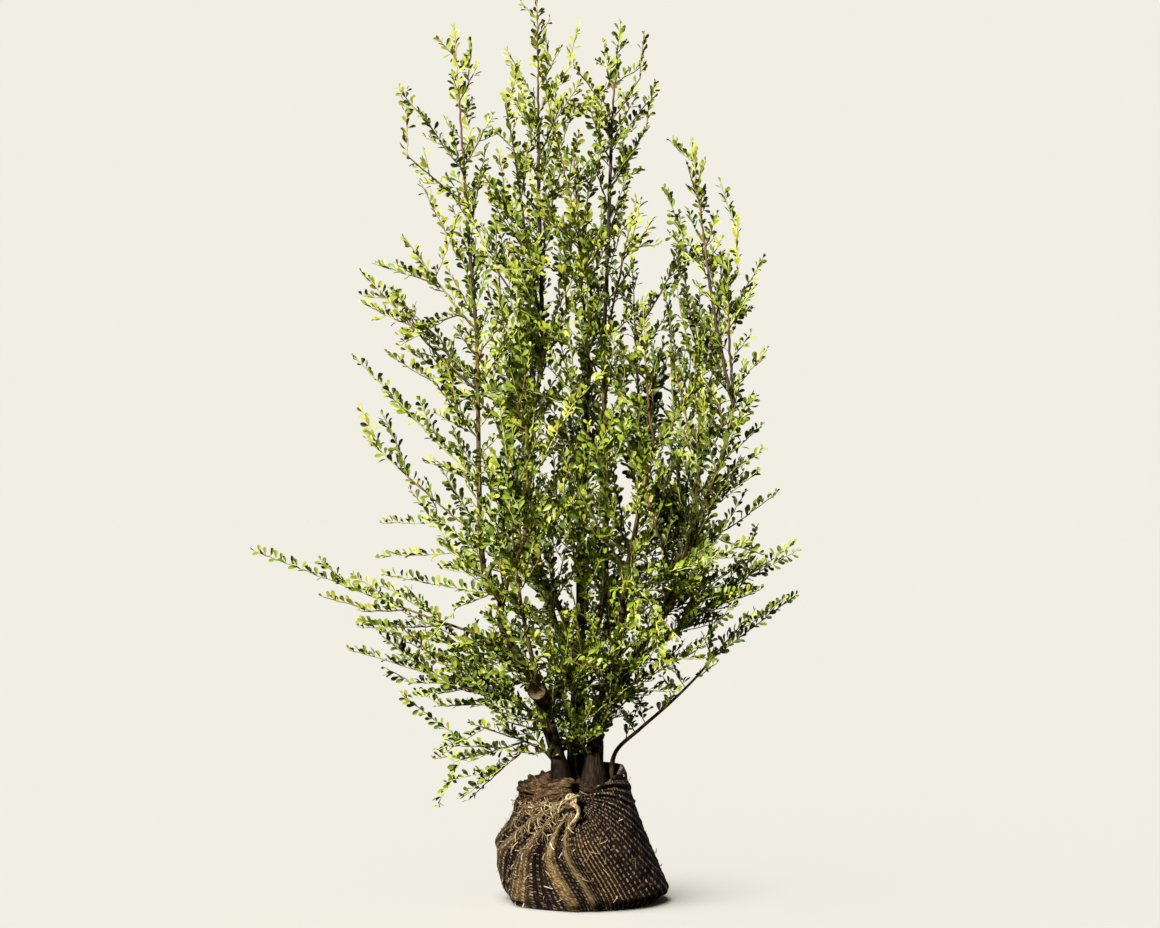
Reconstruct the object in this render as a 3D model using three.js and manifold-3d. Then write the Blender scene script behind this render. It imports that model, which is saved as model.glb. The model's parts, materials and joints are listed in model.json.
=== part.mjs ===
// A young, many-stemmed evergreen shrub with small leaves, lifted for planting:
// its root ball is wrapped in jute cloth, tied with a knot on the front.
// Millimetres, +Z up, front towards -Y. The origin is the middle of the flat
// underside that the root ball stands on.
//
// The plant is built as it grew: stems stand on the soil, limbs fork from the
// stems, and masses of foliage sit on the limbs. Each mass is a bundle of
// spindle-shaped sprays: one long main spray with side sprays forking from it.

import * as THREE from 'three';
import { mergeVertices } from 'three/addons/utils/BufferGeometryUtils.js';
import Module from 'manifold-3d';

const wasm = await Module();
wasm.setup();

// ------------------------------------------------------------ driving sizes

const GAP = 0.3;              // clearance between two pieces that touch
const SWELL = 0.4;            // growth of a cutter, so that faceted sides keep the gap
const SOIL_TOP = 192;         // height of the flat soil that the stems stand on
const CLOTH = 5;              // thickness of the gathered jute
const BALL_SIDES = 18;

// The wrapped ball, bottom to top: height, then how far it reaches to the
// left, right, front and back of the origin. It slumps to a toe on the right.
const BALL = [
  { z: 0, left: 120, right: 130, front: 121, back: 112 },
  { z: 18, left: 133, right: 160, front: 131, back: 122 },
  { z: 98, left: 149, right: 124, front: 128, back: 124 },
  { z: 145, left: 120, right: 104, front: 110, back: 108 },
  { z: 198, left: 94, right: 88, front: 82, back: 84 },
  { z: 232, left: 70, right: 77, front: 64, back: 70 },
  { z: 262, left: 52, right: 52, front: 48, back: 50 },
];

// The rim of the cloth is low at the front left and stands up behind the
// stems on the right: its height at the middle, and its rise across and back.
const RIM = { middle: 216, riseRight: 0.26, riseBack: 0.27 };

// The knot in the gathered cloth, with two frayed ends hanging from it: their
// spread to the sides, and their swing out from the ball, are in radians.
const KNOT = { x: -12, z: 190, wide: 24, high: 14, deep: 13 };
const TAIL = { length: 30, radius: 3, footRadius: 4, apart: 4, proud: 5, spread: 0.28, swing: 0.42 };

// ------------------------------------------------------------------- limbs
// A limb starts on the soil (foot) or on another limb (from: name and
// fraction of its length). lean and back are the angles from upright, to the
// right and to the back, in degrees, at even steps from its foot to its tip.
// thick is its diameter at the foot and at the tip.

const LIMBS = [
  { name: 'stem_left', foot: [-30, -28], length: 192, thick: [25, 25], flare: 9,
    lean: [-1, -12, -16, -19, -6], back: [-3, -8, -15], sawn: { lean: -42, back: -38 } },
  { name: 'stem_middle', foot: [-14, 2], length: 808, thick: [14, 7], flare: 4,
    lean: [-3, 1, 8, -9, -28, -28, -4, 5, 8, 9, 9], back: [0, -2, 4] },
  { name: 'stem_right', foot: [24, 2], length: 144, thick: [36, 27], flare: 11,
    lean: [-1, 4, 9], back: [-1, -4] },
  { name: 'stem_back', foot: [-4, 44], length: 744, thick: [22, 8], flare: 6,
    lean: [3, 0, 0, 3, 4], back: [6, 9, 6, 2, 2] },

  { name: 'limb_left', from: ['stem_left', 0.92], length: 514, thick: [16, 7],
    lean: [-13, -35, -34, -9, 22, 26, 9, 1, -1, -2, -2], back: [-14, 4, 4, 1] },
  { name: 'limb_left_outer', from: ['limb_left', 0.32], length: 496, thick: [11, 6],
    lean: [-31, -8, -2, -1, -1, -1, -1], back: [4, 5, 5, 6] },
  { name: 'limb_middle', from: ['stem_left', 0.74], length: 676, thick: [14, 7],
    lean: [29, 38, 30, 22, 7, 1, 0, 0, -1, -1, -1, -1, -1], back: [-10, 5, 2, 4] },
  { name: 'limb_right', from: ['stem_right', 0.94], length: 592, thick: [16, 8],
    lean: [50, 27, 28, 39, 30, 14, 11, 4, 2, 1, 0], back: [9, -2, 3] },
  { name: 'limb_right_outer', from: ['limb_right', 0.3], length: 434, thick: [11, 6],
    lean: [27, 19, 22, 21, 18, 6], back: [-36, -12, 1, 3, 6] },
  { name: 'limb_front', from: ['stem_right', 0.94], length: 504, thick: [15, 8],
    lean: [20, 9, 8, 10, 15], back: [-21, -22, -24, -15, 0] },
  { name: 'limb_front_left', from: ['stem_left', 0.64], length: 320, thick: [11, 7],
    lean: [-12, -13, -11, -5], back: [-37, -26, -16, -4] },
  { name: 'limb_back_left', from: ['stem_back', 0.2], length: 494, thick: [13, 7],
    lean: [-17, -19, -13, -5, 0], back: [18, 21, 13, 5, 1] },
  { name: 'limb_back_right', from: ['stem_back', 0.23], length: 442, thick: [13, 7],
    lean: [27, 21, 18, 10, 1], back: [17, 22, 16, 6, 5] },

  { name: 'bough_far_left', from: ['limb_left', 0.15], length: 104, thick: [7, 5],
    lean: [-62, -64], back: [6, 6] },
  { name: 'bough_left_foot', from: ['stem_left', 0.6], length: 110, thick: [8, 5],
    lean: [-44, -60], back: [-8, -2] },
  { name: 'bough_left_droop', from: ['stem_left', 0.28], length: 86, thick: [6, 4],
    lean: [-51, -57, -69], back: [-13, -22] },
  { name: 'bough_right_low', from: ['limb_right', 0.17], length: 156, thick: [9, 6],
    lean: [51, 52, 53], back: [-1, -7] },
  { name: 'bough_far_right', foot: [55, 12], length: 324, thick: [9, 5], flare: 2,
    lean: [-16, 20, 55, 48, 46, 43, 35], back: [-3, -5] },
];

// ------------------------------------------------------------------ foliage
// A mass grows from a place on a limb (on: name and fraction of its length).
// girth is the greatest radius of its main spray, reach runs from its root to
// its tip (right, back, up), and each side spray forks from the main one at a
// fraction of its length: [fraction, right, back, up]. The masses are listed
// from the thin outer pads to the heart of the crown.

const MASSES = [
  { name: 'mass_far_left', on: ['bough_far_left', 1], girth: 15, reach: [-375, -15, 140],
    sides: [[0.15, -135, -35, 15], [0.15, -85, 45, -20]] },
  { name: 'mass_left_droop', on: ['bough_left_droop', 1], girth: 16, reach: [-130, -45, -75],
    sides: [[0.2, -95, -10, 5], [0.35, -75, 15, -15], [0.65, -15, -40, -55]] },
  { name: 'mass_far_right', on: ['bough_far_right', 1], girth: 19, reach: [145, -20, 115],
    sides: [[0.2, 35, -45, 55]] },
  { name: 'mass_left_foot', on: ['bough_left_foot', 1], girth: 40, reach: [-270, -30, 75],
    sides: [[0.1, -60, 75, 90], [0.2, -115, 35, -5], [0.1, -115, -45, -25], [0.15, -80, 5, 80],
      [0.3, -125, 50, 65], [0.05, -40, -30, -65]] },
  { name: 'mass_left_skirt', on: ['bough_left_droop', 0.3], girth: 40, reach: [-140, -70, 60],
    sides: [[0.35, -25, -5, -35], [0.35, -45, -25, 105], [0.3, 50, -70, 100]] },
  { name: 'mass_left_low', on: ['limb_left_outer', 0.12], girth: 52, reach: [-85, 5, 110],
    sides: [[0.2, -100, 60, 105], [0.05, -55, 5, -60], [0.05, -150, 25, 25],
      [0.05, -180, -25, 5]] },
  { name: 'mass_left_mid', on: ['limb_left_outer', 0.34], girth: 50, reach: [-205, 15, 140],
    sides: [[0.25, -120, -30, 150], [0.35, -80, 70, 25], [0.1, -100, -45, 5]] },
  { name: 'mass_left_wing', on: ['limb_left_outer', 0.56], girth: 48, reach: [-225, -5, 175],
    sides: [[0.45, -50, -50, 120], [0.3, -115, 65, 60]] },
  { name: 'mass_left_shoulder', on: ['limb_left_outer', 0.72], girth: 54, reach: [-210, 20, 245],
    sides: [[0.45, -55, -40, 105], [0.4, 40, 10, 115], [0.65, -75, 55, 30]] },
  { name: 'mass_left_upper', on: ['limb_left_outer', 0.94], girth: 46, reach: [-130, -40, 195],
    sides: [[0.45, -35, 5, 155]] },
  { name: 'mass_left_leader', on: ['limb_left_outer', 1], girth: 52, reach: [-40, 0, 535],
    sides: [[0.5, -85, -35, 115], [0.4, -115, -5, 95], [0.75, 35, 15, 70], [0.4, 45, 45, 175]] },
  { name: 'mass_centre_leader', on: ['stem_middle', 1], girth: 66, reach: [-15, 0, 615],
    sides: [[0.6, -50, -30, 145], [0.65, 40, 30, 125], [0.65, 60, -20, 85],
      [0.4, -65, 50, 205], [0.45, 45, -70, 150]] },
  { name: 'mass_centre_right', on: ['limb_middle', 1], girth: 66, reach: [30, 0, 560],
    sides: [[0.6, -20, 50, 200], [0.55, 50, -30, 155], [0.5, 70, 20, 150], [0.4, 70, 70, 165],
      [0.35, -40, -50, 230]] },
  { name: 'mass_right_leader', on: ['limb_right', 1], girth: 60, reach: [-15, -5, 465],
    sides: [[0.55, -55, 25, 145], [0.5, 10, -35, 150], [0.4, 40, 5, 155], [0.25, -50, 65, 195],
      [0.2, 60, 55, 160]] },
  { name: 'mass_right_shoulder', on: ['limb_right_outer', 0.94], girth: 46, reach: [40, -10, 235],
    sides: [[0.35, -25, -25, 205], [0.55, 0, 55, 130], [0.1, 60, -30, 100]] },
  { name: 'mass_right_mid', on: ['limb_right_outer', 0.5], girth: 50, reach: [120, -10, 130],
    sides: [[0.35, 75, 55, 125], [0.25, 45, -45, 155], [0.05, 90, 20, 0], [0.05, -5, -20, -130]] },
  { name: 'mass_right_low', on: ['bough_right_low', 1], girth: 46, reach: [170, -30, 125],
    sides: [[0.4, 60, 55, 20], [0.2, 45, -70, 145], [0.2, 60, -70, 15], [0.05, 60, 5, -40],
      [0.05, -30, -55, 110]] },
  { name: 'mass_right_inner', on: ['limb_middle', 0.8], girth: 58, reach: [55, -55, 385],
    sides: [[0.6, 55, 20, 120], [0.2, 75, -80, 140]] },
  { name: 'mass_centre_left', on: ['limb_left', 1], girth: 62, reach: [-35, -40, 545],
    sides: [[0.55, 25, -60, 165], [0.35, -60, -10, 230], [0.35, 45, -105, 170]] },
  { name: 'mass_foot_right', on: ['limb_right', 0.14], girth: 50, reach: [130, -75, 50],
    sides: [[0.15, 85, -85, -50], [0.05, 30, -45, -120], [0.05, -30, -65, -125]] },
  { name: 'mass_foot_front', on: ['limb_front', 0.08], girth: 50, reach: [65, -140, 75],
    sides: [[0.05, -70, -125, 70], [0.05, -10, -100, -70]] },
  { name: 'mass_front_low_left', on: ['limb_front_left', 0.4], girth: 54, reach: [-110, -85, 185],
    sides: [[0.2, -70, -65, 20]] },
  { name: 'mass_front_low_right', on: ['limb_front', 0.42], girth: 58, reach: [135, -105, 80],
    sides: [[0.15, 5, -140, 105], [0.05, 30, -110, -105]] },
  { name: 'mass_front_left', on: ['limb_front_left', 1], girth: 66, reach: [-25, -60, 270],
    sides: [[0.15, -85, -35, 95], [0.35, 60, -75, 140]] },
  { name: 'mass_front_upper', on: ['limb_front', 1], girth: 60, reach: [-90, -45, 205],
    sides: [[0.15, 90, -15, 75], [0.4, 20, -15, 160]] },
  { name: 'mass_front_heart', on: ['limb_middle', 0.38], girth: 66, reach: [-30, -185, 280],
    sides: [[0.15, 60, -140, 135], [0.25, -70, -160, 160]] },
  { name: 'mass_front_top', on: ['limb_middle', 0.7], girth: 62, reach: [-65, -110, 470],
    sides: [[0.5, 20, -95, 145], [0.6, -70, -65, 135]] },
  { name: 'mass_back_low_left', on: ['limb_back_left', 0.3], girth: 56, reach: [-175, 95, 115],
    sides: [[0.15, -115, 15, 170], [0.15, -5, 115, 95]] },
  { name: 'mass_back_low_right', on: ['limb_back_right', 0.34], girth: 56, reach: [165, 85, 95],
    sides: [[0.05, 185, 10, 130], [0.05, 5, 120, 90]] },
  { name: 'mass_back_low', on: ['stem_back', 0.32], girth: 58, reach: [5, 200, 270],
    sides: [[0.5, 85, 65, 95]] },
  { name: 'mass_back_left', on: ['limb_back_left', 1], girth: 66, reach: [-55, 25, 365],
    sides: [[0.3, -115, 50, 110], [0.45, 50, 55, 205]] },
  { name: 'mass_back_right', on: ['limb_back_right', 1], girth: 66, reach: [50, 20, 345],
    sides: [[0.4, 130, 25, 80], [0.5, -50, 50, 215]] },
  { name: 'mass_back_mid', on: ['stem_back', 0.7], girth: 62, reach: [5, 155, 300],
    sides: [[0.4, 95, 55, 125]] },
  { name: 'mass_back_upper', on: ['stem_back', 1], girth: 64, reach: [-30, 30, 415],
    sides: [[0.35, 80, 50, 185], [0.45, -70, 45, 195]] },
  { name: 'mass_heart_left', on: ['limb_left', 0.62], girth: 68, reach: [-40, 75, 345],
    sides: [[0.3, -70, 95, 120]] },
  { name: 'mass_heart_middle', on: ['stem_middle', 0.5], girth: 72, reach: [55, 55, 350],
    sides: [[0.35, 75, 65, 50]] },
  { name: 'mass_heart_right', on: ['limb_right', 0.5], girth: 70, reach: [-20, 45, 295],
    sides: [[0.4, -80, -60, 90], [0.4, 35, -50, 140]] },
  { name: 'mass_heart_low', on: ['stem_right', 0.99], girth: 60, reach: [50, 65, 260],
    sides: [[0.4, 80, -40, 105]] },
];

// -------------------------------------------------------- solids and meshes

// A closed three.js geometry as a solid that can be cut and joined.
function solidOf(geometry) {
  const bare = geometry.clone();
  bare.deleteAttribute('normal');
  bare.deleteAttribute('uv');
  const merged = mergeVertices(bare, 1e-3);
  const index = merged.index.array;
  const kept = [];
  for (let i = 0; i < index.length; i += 3) {
    const [a, b, c] = [index[i], index[i + 1], index[i + 2]];
    if (a !== b && b !== c && c !== a) kept.push(a, b, c);
  }
  const mesh = new wasm.Mesh({
    numProp: 3,
    vertProperties: Float32Array.from(merged.attributes.position.array),
    triVerts: Uint32Array.from(kept),
  });
  return new wasm.Manifold(mesh);
}

function geometryOf(solid) {
  const { vertProperties, triVerts } = solid.getMesh();
  const geometry = new THREE.BufferGeometry();
  geometry.setAttribute('position', new THREE.BufferAttribute(vertProperties, 3));
  geometry.setIndex(new THREE.BufferAttribute(triVerts, 1));
  geometry.computeVertexNormals();
  return geometry;
}

// A cut can shave crumbs off a solid: only its largest piece is kept.
function largestPiece(solid) {
  const pieces = solid.decompose();
  return pieces.reduce((best, piece) => (piece.volume() > best.volume() ? piece : best));
}

const UP = new THREE.Vector3(0, 0, 1);

const addAll = (solids) => solids.reduce((sum, solid) => sum.add(solid));
const cutAll = (solid, cutters) => cutters.reduce((rest, cutter) => rest.subtract(cutter), solid);

// A block that fills everything beyond a plane, as far as the plant goes.
function beyond(point, normal) {
  const size = 2400;
  const box = new THREE.BoxGeometry(size, size, size);
  box.applyQuaternion(new THREE.Quaternion().setFromUnitVectors(UP, normal));
  const { x, y, z } = point.clone().addScaledVector(normal, size / 2);
  return solidOf(box.translate(x, y, z));
}

// Carries each vertex of an upright geometry, one unit high, to its place
// around a path. place(t) gives the point, the direction and the radius there.
function bendAlong(geometry, place) {
  const position = geometry.attributes.position;
  const up = new THREE.Vector3(0, 1, 0);
  const turn = new THREE.Quaternion();
  const vertex = new THREE.Vector3();
  for (let i = 0; i < position.count; i += 1) {
    vertex.fromBufferAttribute(position, i);
    const { point, direction, radius } = place(vertex.y, Math.atan2(vertex.z, vertex.x));
    turn.setFromUnitVectors(up, direction);
    vertex.set(vertex.x * radius, 0, vertex.z * radius).applyQuaternion(turn).add(point);
    position.setXYZ(i, vertex.x, vertex.y, vertex.z);
  }
  return geometry;
}

// The value at fraction t of a list of values that are evenly spaced.
function along(values, t) {
  const spot = THREE.MathUtils.clamp(t, 0, 1) * (values.length - 1);
  const low = Math.min(Math.floor(spot), values.length - 2);
  return THREE.MathUtils.lerp(values[low], values[low + 1], spot - low);
}

// The direction that leans so many degrees to the right and to the back.
function heading(lean, back) {
  const [right, away] = [lean, back].map(THREE.MathUtils.degToRad);
  return new THREE.Vector3(
    Math.sin(right) * Math.cos(away), Math.sin(away), Math.cos(right) * Math.cos(away));
}

// ---------------------------------------------------------------- root ball

// The section of the wrapped ball at a height, inset by the cloth if wanted.
function ballReach(z, side) {
  const top = BALL.findIndex((ring) => ring.z >= z);
  const upper = BALL[Math.max(top, 1)];
  const lower = BALL[Math.max(top, 1) - 1];
  return THREE.MathUtils.mapLinear(z, lower.z, upper.z, lower[side], upper[side]);
}

function ballPoint(z, angle, inset) {
  const [c, s] = [Math.cos(angle), Math.sin(angle)];
  const wide = ballReach(z, c > 0 ? 'right' : 'left') - inset;
  const deep = ballReach(z, s > 0 ? 'back' : 'front') - inset;
  return new THREE.Vector3(c * wide, s * deep, z);
}

// A closed bag through the given heights, from a lathed unit profile.
function bagSolid(heights, inset) {
  const profile = heights.map((z) => new THREE.Vector2(1, z));
  profile.unshift(new THREE.Vector2(0, heights[0]));
  profile.push(new THREE.Vector2(0, heights[heights.length - 1]));
  const geometry = new THREE.LatheGeometry(profile, BALL_SIDES);
  const position = geometry.attributes.position;
  for (let i = 0; i < position.count; i += 1) {
    const [x, z, depth] = [position.getX(i), position.getY(i), -position.getZ(i)];
    const radius = Math.hypot(x, depth);
    const point = ballPoint(z, Math.atan2(depth, x), inset).multiply({ x: radius, y: radius, z: 1 });
    position.setXYZ(i, point.x, point.y, point.z);
  }
  return solidOf(geometry);
}

// Everything above the tilted plane of the cloth's rim.
function aboveRim() {
  const normal = new THREE.Vector3(-RIM.riseRight, -RIM.riseBack, 1).normalize();
  return beyond(new THREE.Vector3(0, 0, RIM.middle), normal);
}

function rootBall() {
  const floor = CLOTH + GAP;
  const inside = BALL.map((ring) => ring.z).filter((z) => z > floor && z < SOIL_TOP);
  return bagSolid([floor, ...inside, SOIL_TOP], CLOTH + 2 * GAP);
}

function juteWrap() {
  const heights = BALL.map((ring) => ring.z);
  const inside = heights.filter((z) => z > CLOTH);
  const hollow = bagSolid([CLOTH, ...inside.slice(0, -1), heights.at(-1) + 1], CLOTH);
  return bagSolid(heights, 0).subtract(hollow).subtract(aboveRim());
}

// The knot: a flattened lump of cloth with two short ends below it.
function wrapKnot() {
  const front = -ballReach(KNOT.z, 'front') - KNOT.deep / 4;
  const lump = new THREE.SphereGeometry(1, 6, 4);
  lump.scale(KNOT.wide / 2, KNOT.deep / 2, KNOT.high / 2).translate(KNOT.x, front, KNOT.z);
  const ends = [-1, 1].map((side) => {
    const end = new THREE.CylinderGeometry(TAIL.radius, TAIL.footRadius, TAIL.length, 4);
    end.rotateX(Math.PI / 2 - TAIL.swing).rotateY(TAIL.spread * side);
    end.translate(KNOT.x + side * TAIL.apart, front - TAIL.proud, KNOT.z - TAIL.length / 2);
    return solidOf(end);
  });
  const ball = bagSolid(BALL.map((ring) => ring.z), -GAP);
  return largestPiece(addAll([solidOf(lump), ...ends]).subtract(ball));
}

// -------------------------------------------------------------------- limbs

const LIMB_SIDES = 5;
const RING_STEP = 72;         // distance between two rings of a limb
const FLARE_FALL = 16;        // height over which a foot's flare dies away

const paths = new Map();      // name: the curve that the limb follows

function limbPath(limb) {
  const point = new THREE.Vector3(...(limb.foot ?? [0, 0]), SOIL_TOP + GAP);
  if (limb.from) point.copy(paths.get(limb.from[0]).getPointAt(limb.from[1]));
  const steps = Math.max(8, Math.round(limb.length / 12));
  const points = [point.clone()];
  for (let i = 0; i < steps; i += 1) {
    const t = (i + 0.5) / steps;
    point.addScaledVector(heading(along(limb.lean, t), along(limb.back, t)), limb.length / steps);
    points.push(point.clone());
  }
  return new THREE.CatmullRomCurve3(points);
}

// A tapering limb: a cylinder bent along its path. A foot on the soil stays
// flat, and a sawn end is cut across on its slant.
function limbSolid(limb, swell = 0) {
  const path = paths.get(limb.name);
  const rings = Math.max(3, Math.round(limb.length / RING_STEP));
  const geometry = new THREE.CylinderGeometry(1, 1, 1, LIMB_SIDES, rings);
  geometry.translate(0, 0.5, 0);
  const sawn = limb.sawn && heading(limb.sawn.lean, limb.sawn.back);
  return solidOf(bendAlong(geometry, (t) => {
    const s = t * limb.length;
    const flare = (limb.flare ?? 0) * Math.exp(-s / FLARE_FALL);
    const point = path.getPointAt(t);
    const tangent = path.getTangentAt(t);
    if (swell && t === 0) point.addScaledVector(tangent, -swell);
    if (swell && t === 1) point.addScaledVector(tangent, swell);
    const end = t === 1 && sawn ? sawn : tangent;
    return {
      point,
      direction: t === 0 && limb.foot ? UP : end,
      radius: along(limb.thick, t) / 2 + flare + swell,
    };
  }));
}

// ------------------------------------------------------------------ foliage

const ROOT_OVERLAP = 12;      // how far a mass reaches back over its limb's tip
const BOW = 0.05;             // rise of a level spray's middle, as part of its length
const UNEVEN = 0.16;          // unevenness of a spray's side, as part of its radius
const SHARED_ROOT = 10;       // main sprays nearer than this count as one root's
const SMALLEST_EDGE = 4;      // shorter edges, left where sprays join, are cleared away
const SLIVER = 0.12;          // thinner slivers, left by the cutting, are cleared away

// Sides and profile of a spray: [fraction of its length, fraction of its girth].
const MAIN_SPRAY = { sides: 6, profile: [[0, 0.7], [0.28, 1], [0.68, 0.62]] };
const SIDE_SPRAY = { sides: 4, profile: [[0.4, 1]] };

// A side spray's girth: at most so much of the main spray's, and of its own length.
const SIDE_GIRTH = { ofMain: 0.75, ofLength: 0.25 };

// Repeatable unevenness: a slow wave round and along the spray, from -1 to 1.
function wave(seed, t, angle) {
  return Math.sin(2 * angle + seed * 2.4) * Math.cos(5 * t + seed * 1.7) * 0.6
    + Math.sin(3 * angle - seed * 4.1 + 4 * t) * 0.4;
}

// One spindle-shaped spray from its start along its reach, bowed upward a
// little where it leans out, with an uneven side and a sharp tip.
function spraySolid(kind, start, reach, girth, seed) {
  const profile = kind.profile.map(([t, r]) => new THREE.Vector2(r, t));
  profile.unshift(new THREE.Vector2(0, 0));
  profile.push(new THREE.Vector2(0, 1));
  const geometry = new THREE.LatheGeometry(profile, kind.sides);
  const length = reach.length();
  const direction = reach.clone().normalize();
  const bow = BOW * length * Math.hypot(direction.x, direction.y);
  return solidOf(bendAlong(geometry, (t, angle) => {
    const point = start.clone().addScaledVector(direction, t * length);
    point.z += bow * 4 * t * (1 - t);
    return { point, direction, radius: girth * (1 + UNEVEN * wave(seed, t, angle)) };
  }));
}

function massSolid(mass, number) {
  const reach = new THREE.Vector3(...mass.reach);
  const root = paths.get(mass.on[0]).getPointAt(mass.on[1]);
  const overlap = reach.clone().setLength(ROOT_OVERLAP);
  const start = root.clone().sub(overlap);
  const main = spraySolid(MAIN_SPRAY, start, overlap.add(reach), mass.girth, number);
  const sides = mass.sides.map(([at, right, back, up], k) => {
    const side = new THREE.Vector3(right, back, up);
    const girth = Math.min(SIDE_GIRTH.ofMain * mass.girth, SIDE_GIRTH.ofLength * side.length());
    const fork = root.clone().addScaledVector(reach, at);
    return spraySolid(SIDE_SPRAY, fork, side, girth, number + 0.37 * (k + 1));
  });
  return addAll([main, ...sides]);
}

// The plane that parts two crowded masses lies between their main sprays,
// nearer to the thinner one. Sprays from one root are parted by direction.
function partingPlane(a, b) {
  const lines = [a, b].map((mass) => {
    const root = paths.get(mass.on[0]).getPointAt(mass.on[1]);
    return new THREE.Line3(root, root.clone().add(new THREE.Vector3(...mass.reach)));
  });
  const [nearA, nearB] = [new THREE.Vector3(), new THREE.Vector3()];
  const apart = Math.sqrt(lines[0].distanceSqToLine3(lines[1], nearA, nearB));
  const [towardA, towardB] = lines.map((line) => line.delta(new THREE.Vector3()).normalize());
  const normal = apart > SHARED_ROOT ? nearB.clone().sub(nearA) : towardB.sub(towardA);
  const middle = nearA.lerp(nearB, a.girth / (a.girth + b.girth));
  return { middle, normal: normal.normalize() };
}

// ----------------------------------------------------------------- assembly

const finishes = {
  bark: new THREE.MeshStandardMaterial({ color: 0x7a6a55, roughness: 0.9, metalness: 0 }),
  foliage: new THREE.MeshStandardMaterial({ color: 0x6f8a2a, roughness: 0.6, metalness: 0 }),
  jute: new THREE.MeshStandardMaterial({ color: 0x4a3a2c, roughness: 0.95, metalness: 0 }),
  soil: new THREE.MeshStandardMaterial({ color: 0x2a211a, roughness: 1, metalness: 0 }),
};

const plant = new THREE.Group();

function addPiece(name, solid, finish) {
  const mesh = new THREE.Mesh(geometryOf(solid), finishes[finish]);
  mesh.name = name;
  plant.add(mesh);
}

addPiece('root_ball', rootBall(), 'soil');
addPiece('jute_wrap', juteWrap(), 'jute');
addPiece('wrap_knot', wrapKnot(), 'jute');

// Each limb is notched round the limbs before it, which it forks from.
const swollenLimbs = [];
for (const limb of LIMBS) {
  paths.set(limb.name, limbPath(limb));
  const solid = largestPiece(cutAll(limbSolid(limb), swollenLimbs));
  addPiece(limb.name, solid, 'bark');
  swollenLimbs.push(limbSolid(limb, SWELL));
}

// Crowded masses are parted by a plane, and each is cut round every limb.
const wholes = MASSES.map((mass, number) => massSolid(mass, number).simplify(SMALLEST_EDGE));
const cutters = MASSES.map(() => []);
MASSES.forEach((mass, i) => {
  for (let j = i + 1; j < MASSES.length; j += 1) {
    if (wholes[i].intersect(wholes[j]).isEmpty()) continue;
    const { middle, normal } = partingPlane(mass, MASSES[j]);
    const back = normal.clone().negate();
    cutters[i].push(beyond(middle.clone().addScaledVector(normal, -GAP / 2), normal));
    cutters[j].push(beyond(middle.clone().addScaledVector(normal, GAP / 2), back));
  }
});
MASSES.forEach((mass, i) => {
  const solid = cutAll(wholes[i], [...cutters[i], ...swollenLimbs]);
  addPiece(mass.name, largestPiece(solid).simplify(SLIVER), 'foliage');
});

export default plant;
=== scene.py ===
# %% [markdown]
# # An evergreen shrub with a wrapped root ball
#
# A young hedge shrub as it leaves the nursery: four stems from one root, a crown of small oval
# leaves, and a ball of soil tied up in coarse jute. The plain model that was packed for it gives
# the sizes: a solid for each stem and limb, and a pointed solid for each mass of foliage.
# This script grows bark, twigs and leaves into those solids, and sews the cloth over the ball.

import json
import math

import bpy
import numpy as np
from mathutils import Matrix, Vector
from mathutils.bvhtree import BVHTree
from mathutils.kdtree import KDTree

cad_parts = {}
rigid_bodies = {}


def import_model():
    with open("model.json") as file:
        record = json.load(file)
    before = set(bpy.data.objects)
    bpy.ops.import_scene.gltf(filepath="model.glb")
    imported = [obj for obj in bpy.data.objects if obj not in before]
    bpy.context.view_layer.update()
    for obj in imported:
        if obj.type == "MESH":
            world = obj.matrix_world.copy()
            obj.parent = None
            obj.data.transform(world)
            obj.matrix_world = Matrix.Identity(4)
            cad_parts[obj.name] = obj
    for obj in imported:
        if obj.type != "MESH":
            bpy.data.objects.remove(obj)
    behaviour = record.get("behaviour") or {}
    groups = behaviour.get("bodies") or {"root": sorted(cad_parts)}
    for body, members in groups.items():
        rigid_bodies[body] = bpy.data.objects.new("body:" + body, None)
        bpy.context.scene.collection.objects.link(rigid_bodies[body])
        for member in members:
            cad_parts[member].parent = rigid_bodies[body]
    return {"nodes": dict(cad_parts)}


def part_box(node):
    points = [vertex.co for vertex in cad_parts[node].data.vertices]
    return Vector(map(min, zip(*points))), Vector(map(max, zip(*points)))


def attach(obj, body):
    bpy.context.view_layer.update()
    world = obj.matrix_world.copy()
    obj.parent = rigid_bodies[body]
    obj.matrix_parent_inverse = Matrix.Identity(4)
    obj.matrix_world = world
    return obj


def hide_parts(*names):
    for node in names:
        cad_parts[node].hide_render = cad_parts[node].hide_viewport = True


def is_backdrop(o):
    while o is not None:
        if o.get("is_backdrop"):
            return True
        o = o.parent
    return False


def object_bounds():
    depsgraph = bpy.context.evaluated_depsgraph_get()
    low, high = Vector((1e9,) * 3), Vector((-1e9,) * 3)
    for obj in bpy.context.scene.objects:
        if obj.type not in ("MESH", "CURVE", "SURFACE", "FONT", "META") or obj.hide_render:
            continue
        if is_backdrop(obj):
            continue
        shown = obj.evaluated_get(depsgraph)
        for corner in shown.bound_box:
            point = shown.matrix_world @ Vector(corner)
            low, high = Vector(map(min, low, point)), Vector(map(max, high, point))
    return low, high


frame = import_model()
cad_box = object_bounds()
node_names = sorted(frame["nodes"])
mass_names = [name for name in node_names if name.startswith("mass_")]
limb_names = [name for name in node_names if name.split("_")[0] in ("stem", "limb", "bough")]
print(f"{len(limb_names)} limbs and {len(mass_names)} masses of foliage")

# %% [markdown]
# ## Camera
# The shrub was seen from the front, level with the middle of its crown, through a long lens, so
# it shows little perspective. A camera looks along its own -Z: turned up by 90 degrees, that is
# along +Y here.

# %% Camera
CAMERA_DISTANCE = 4.511
CAMERA_HEIGHT = 0.763

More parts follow.
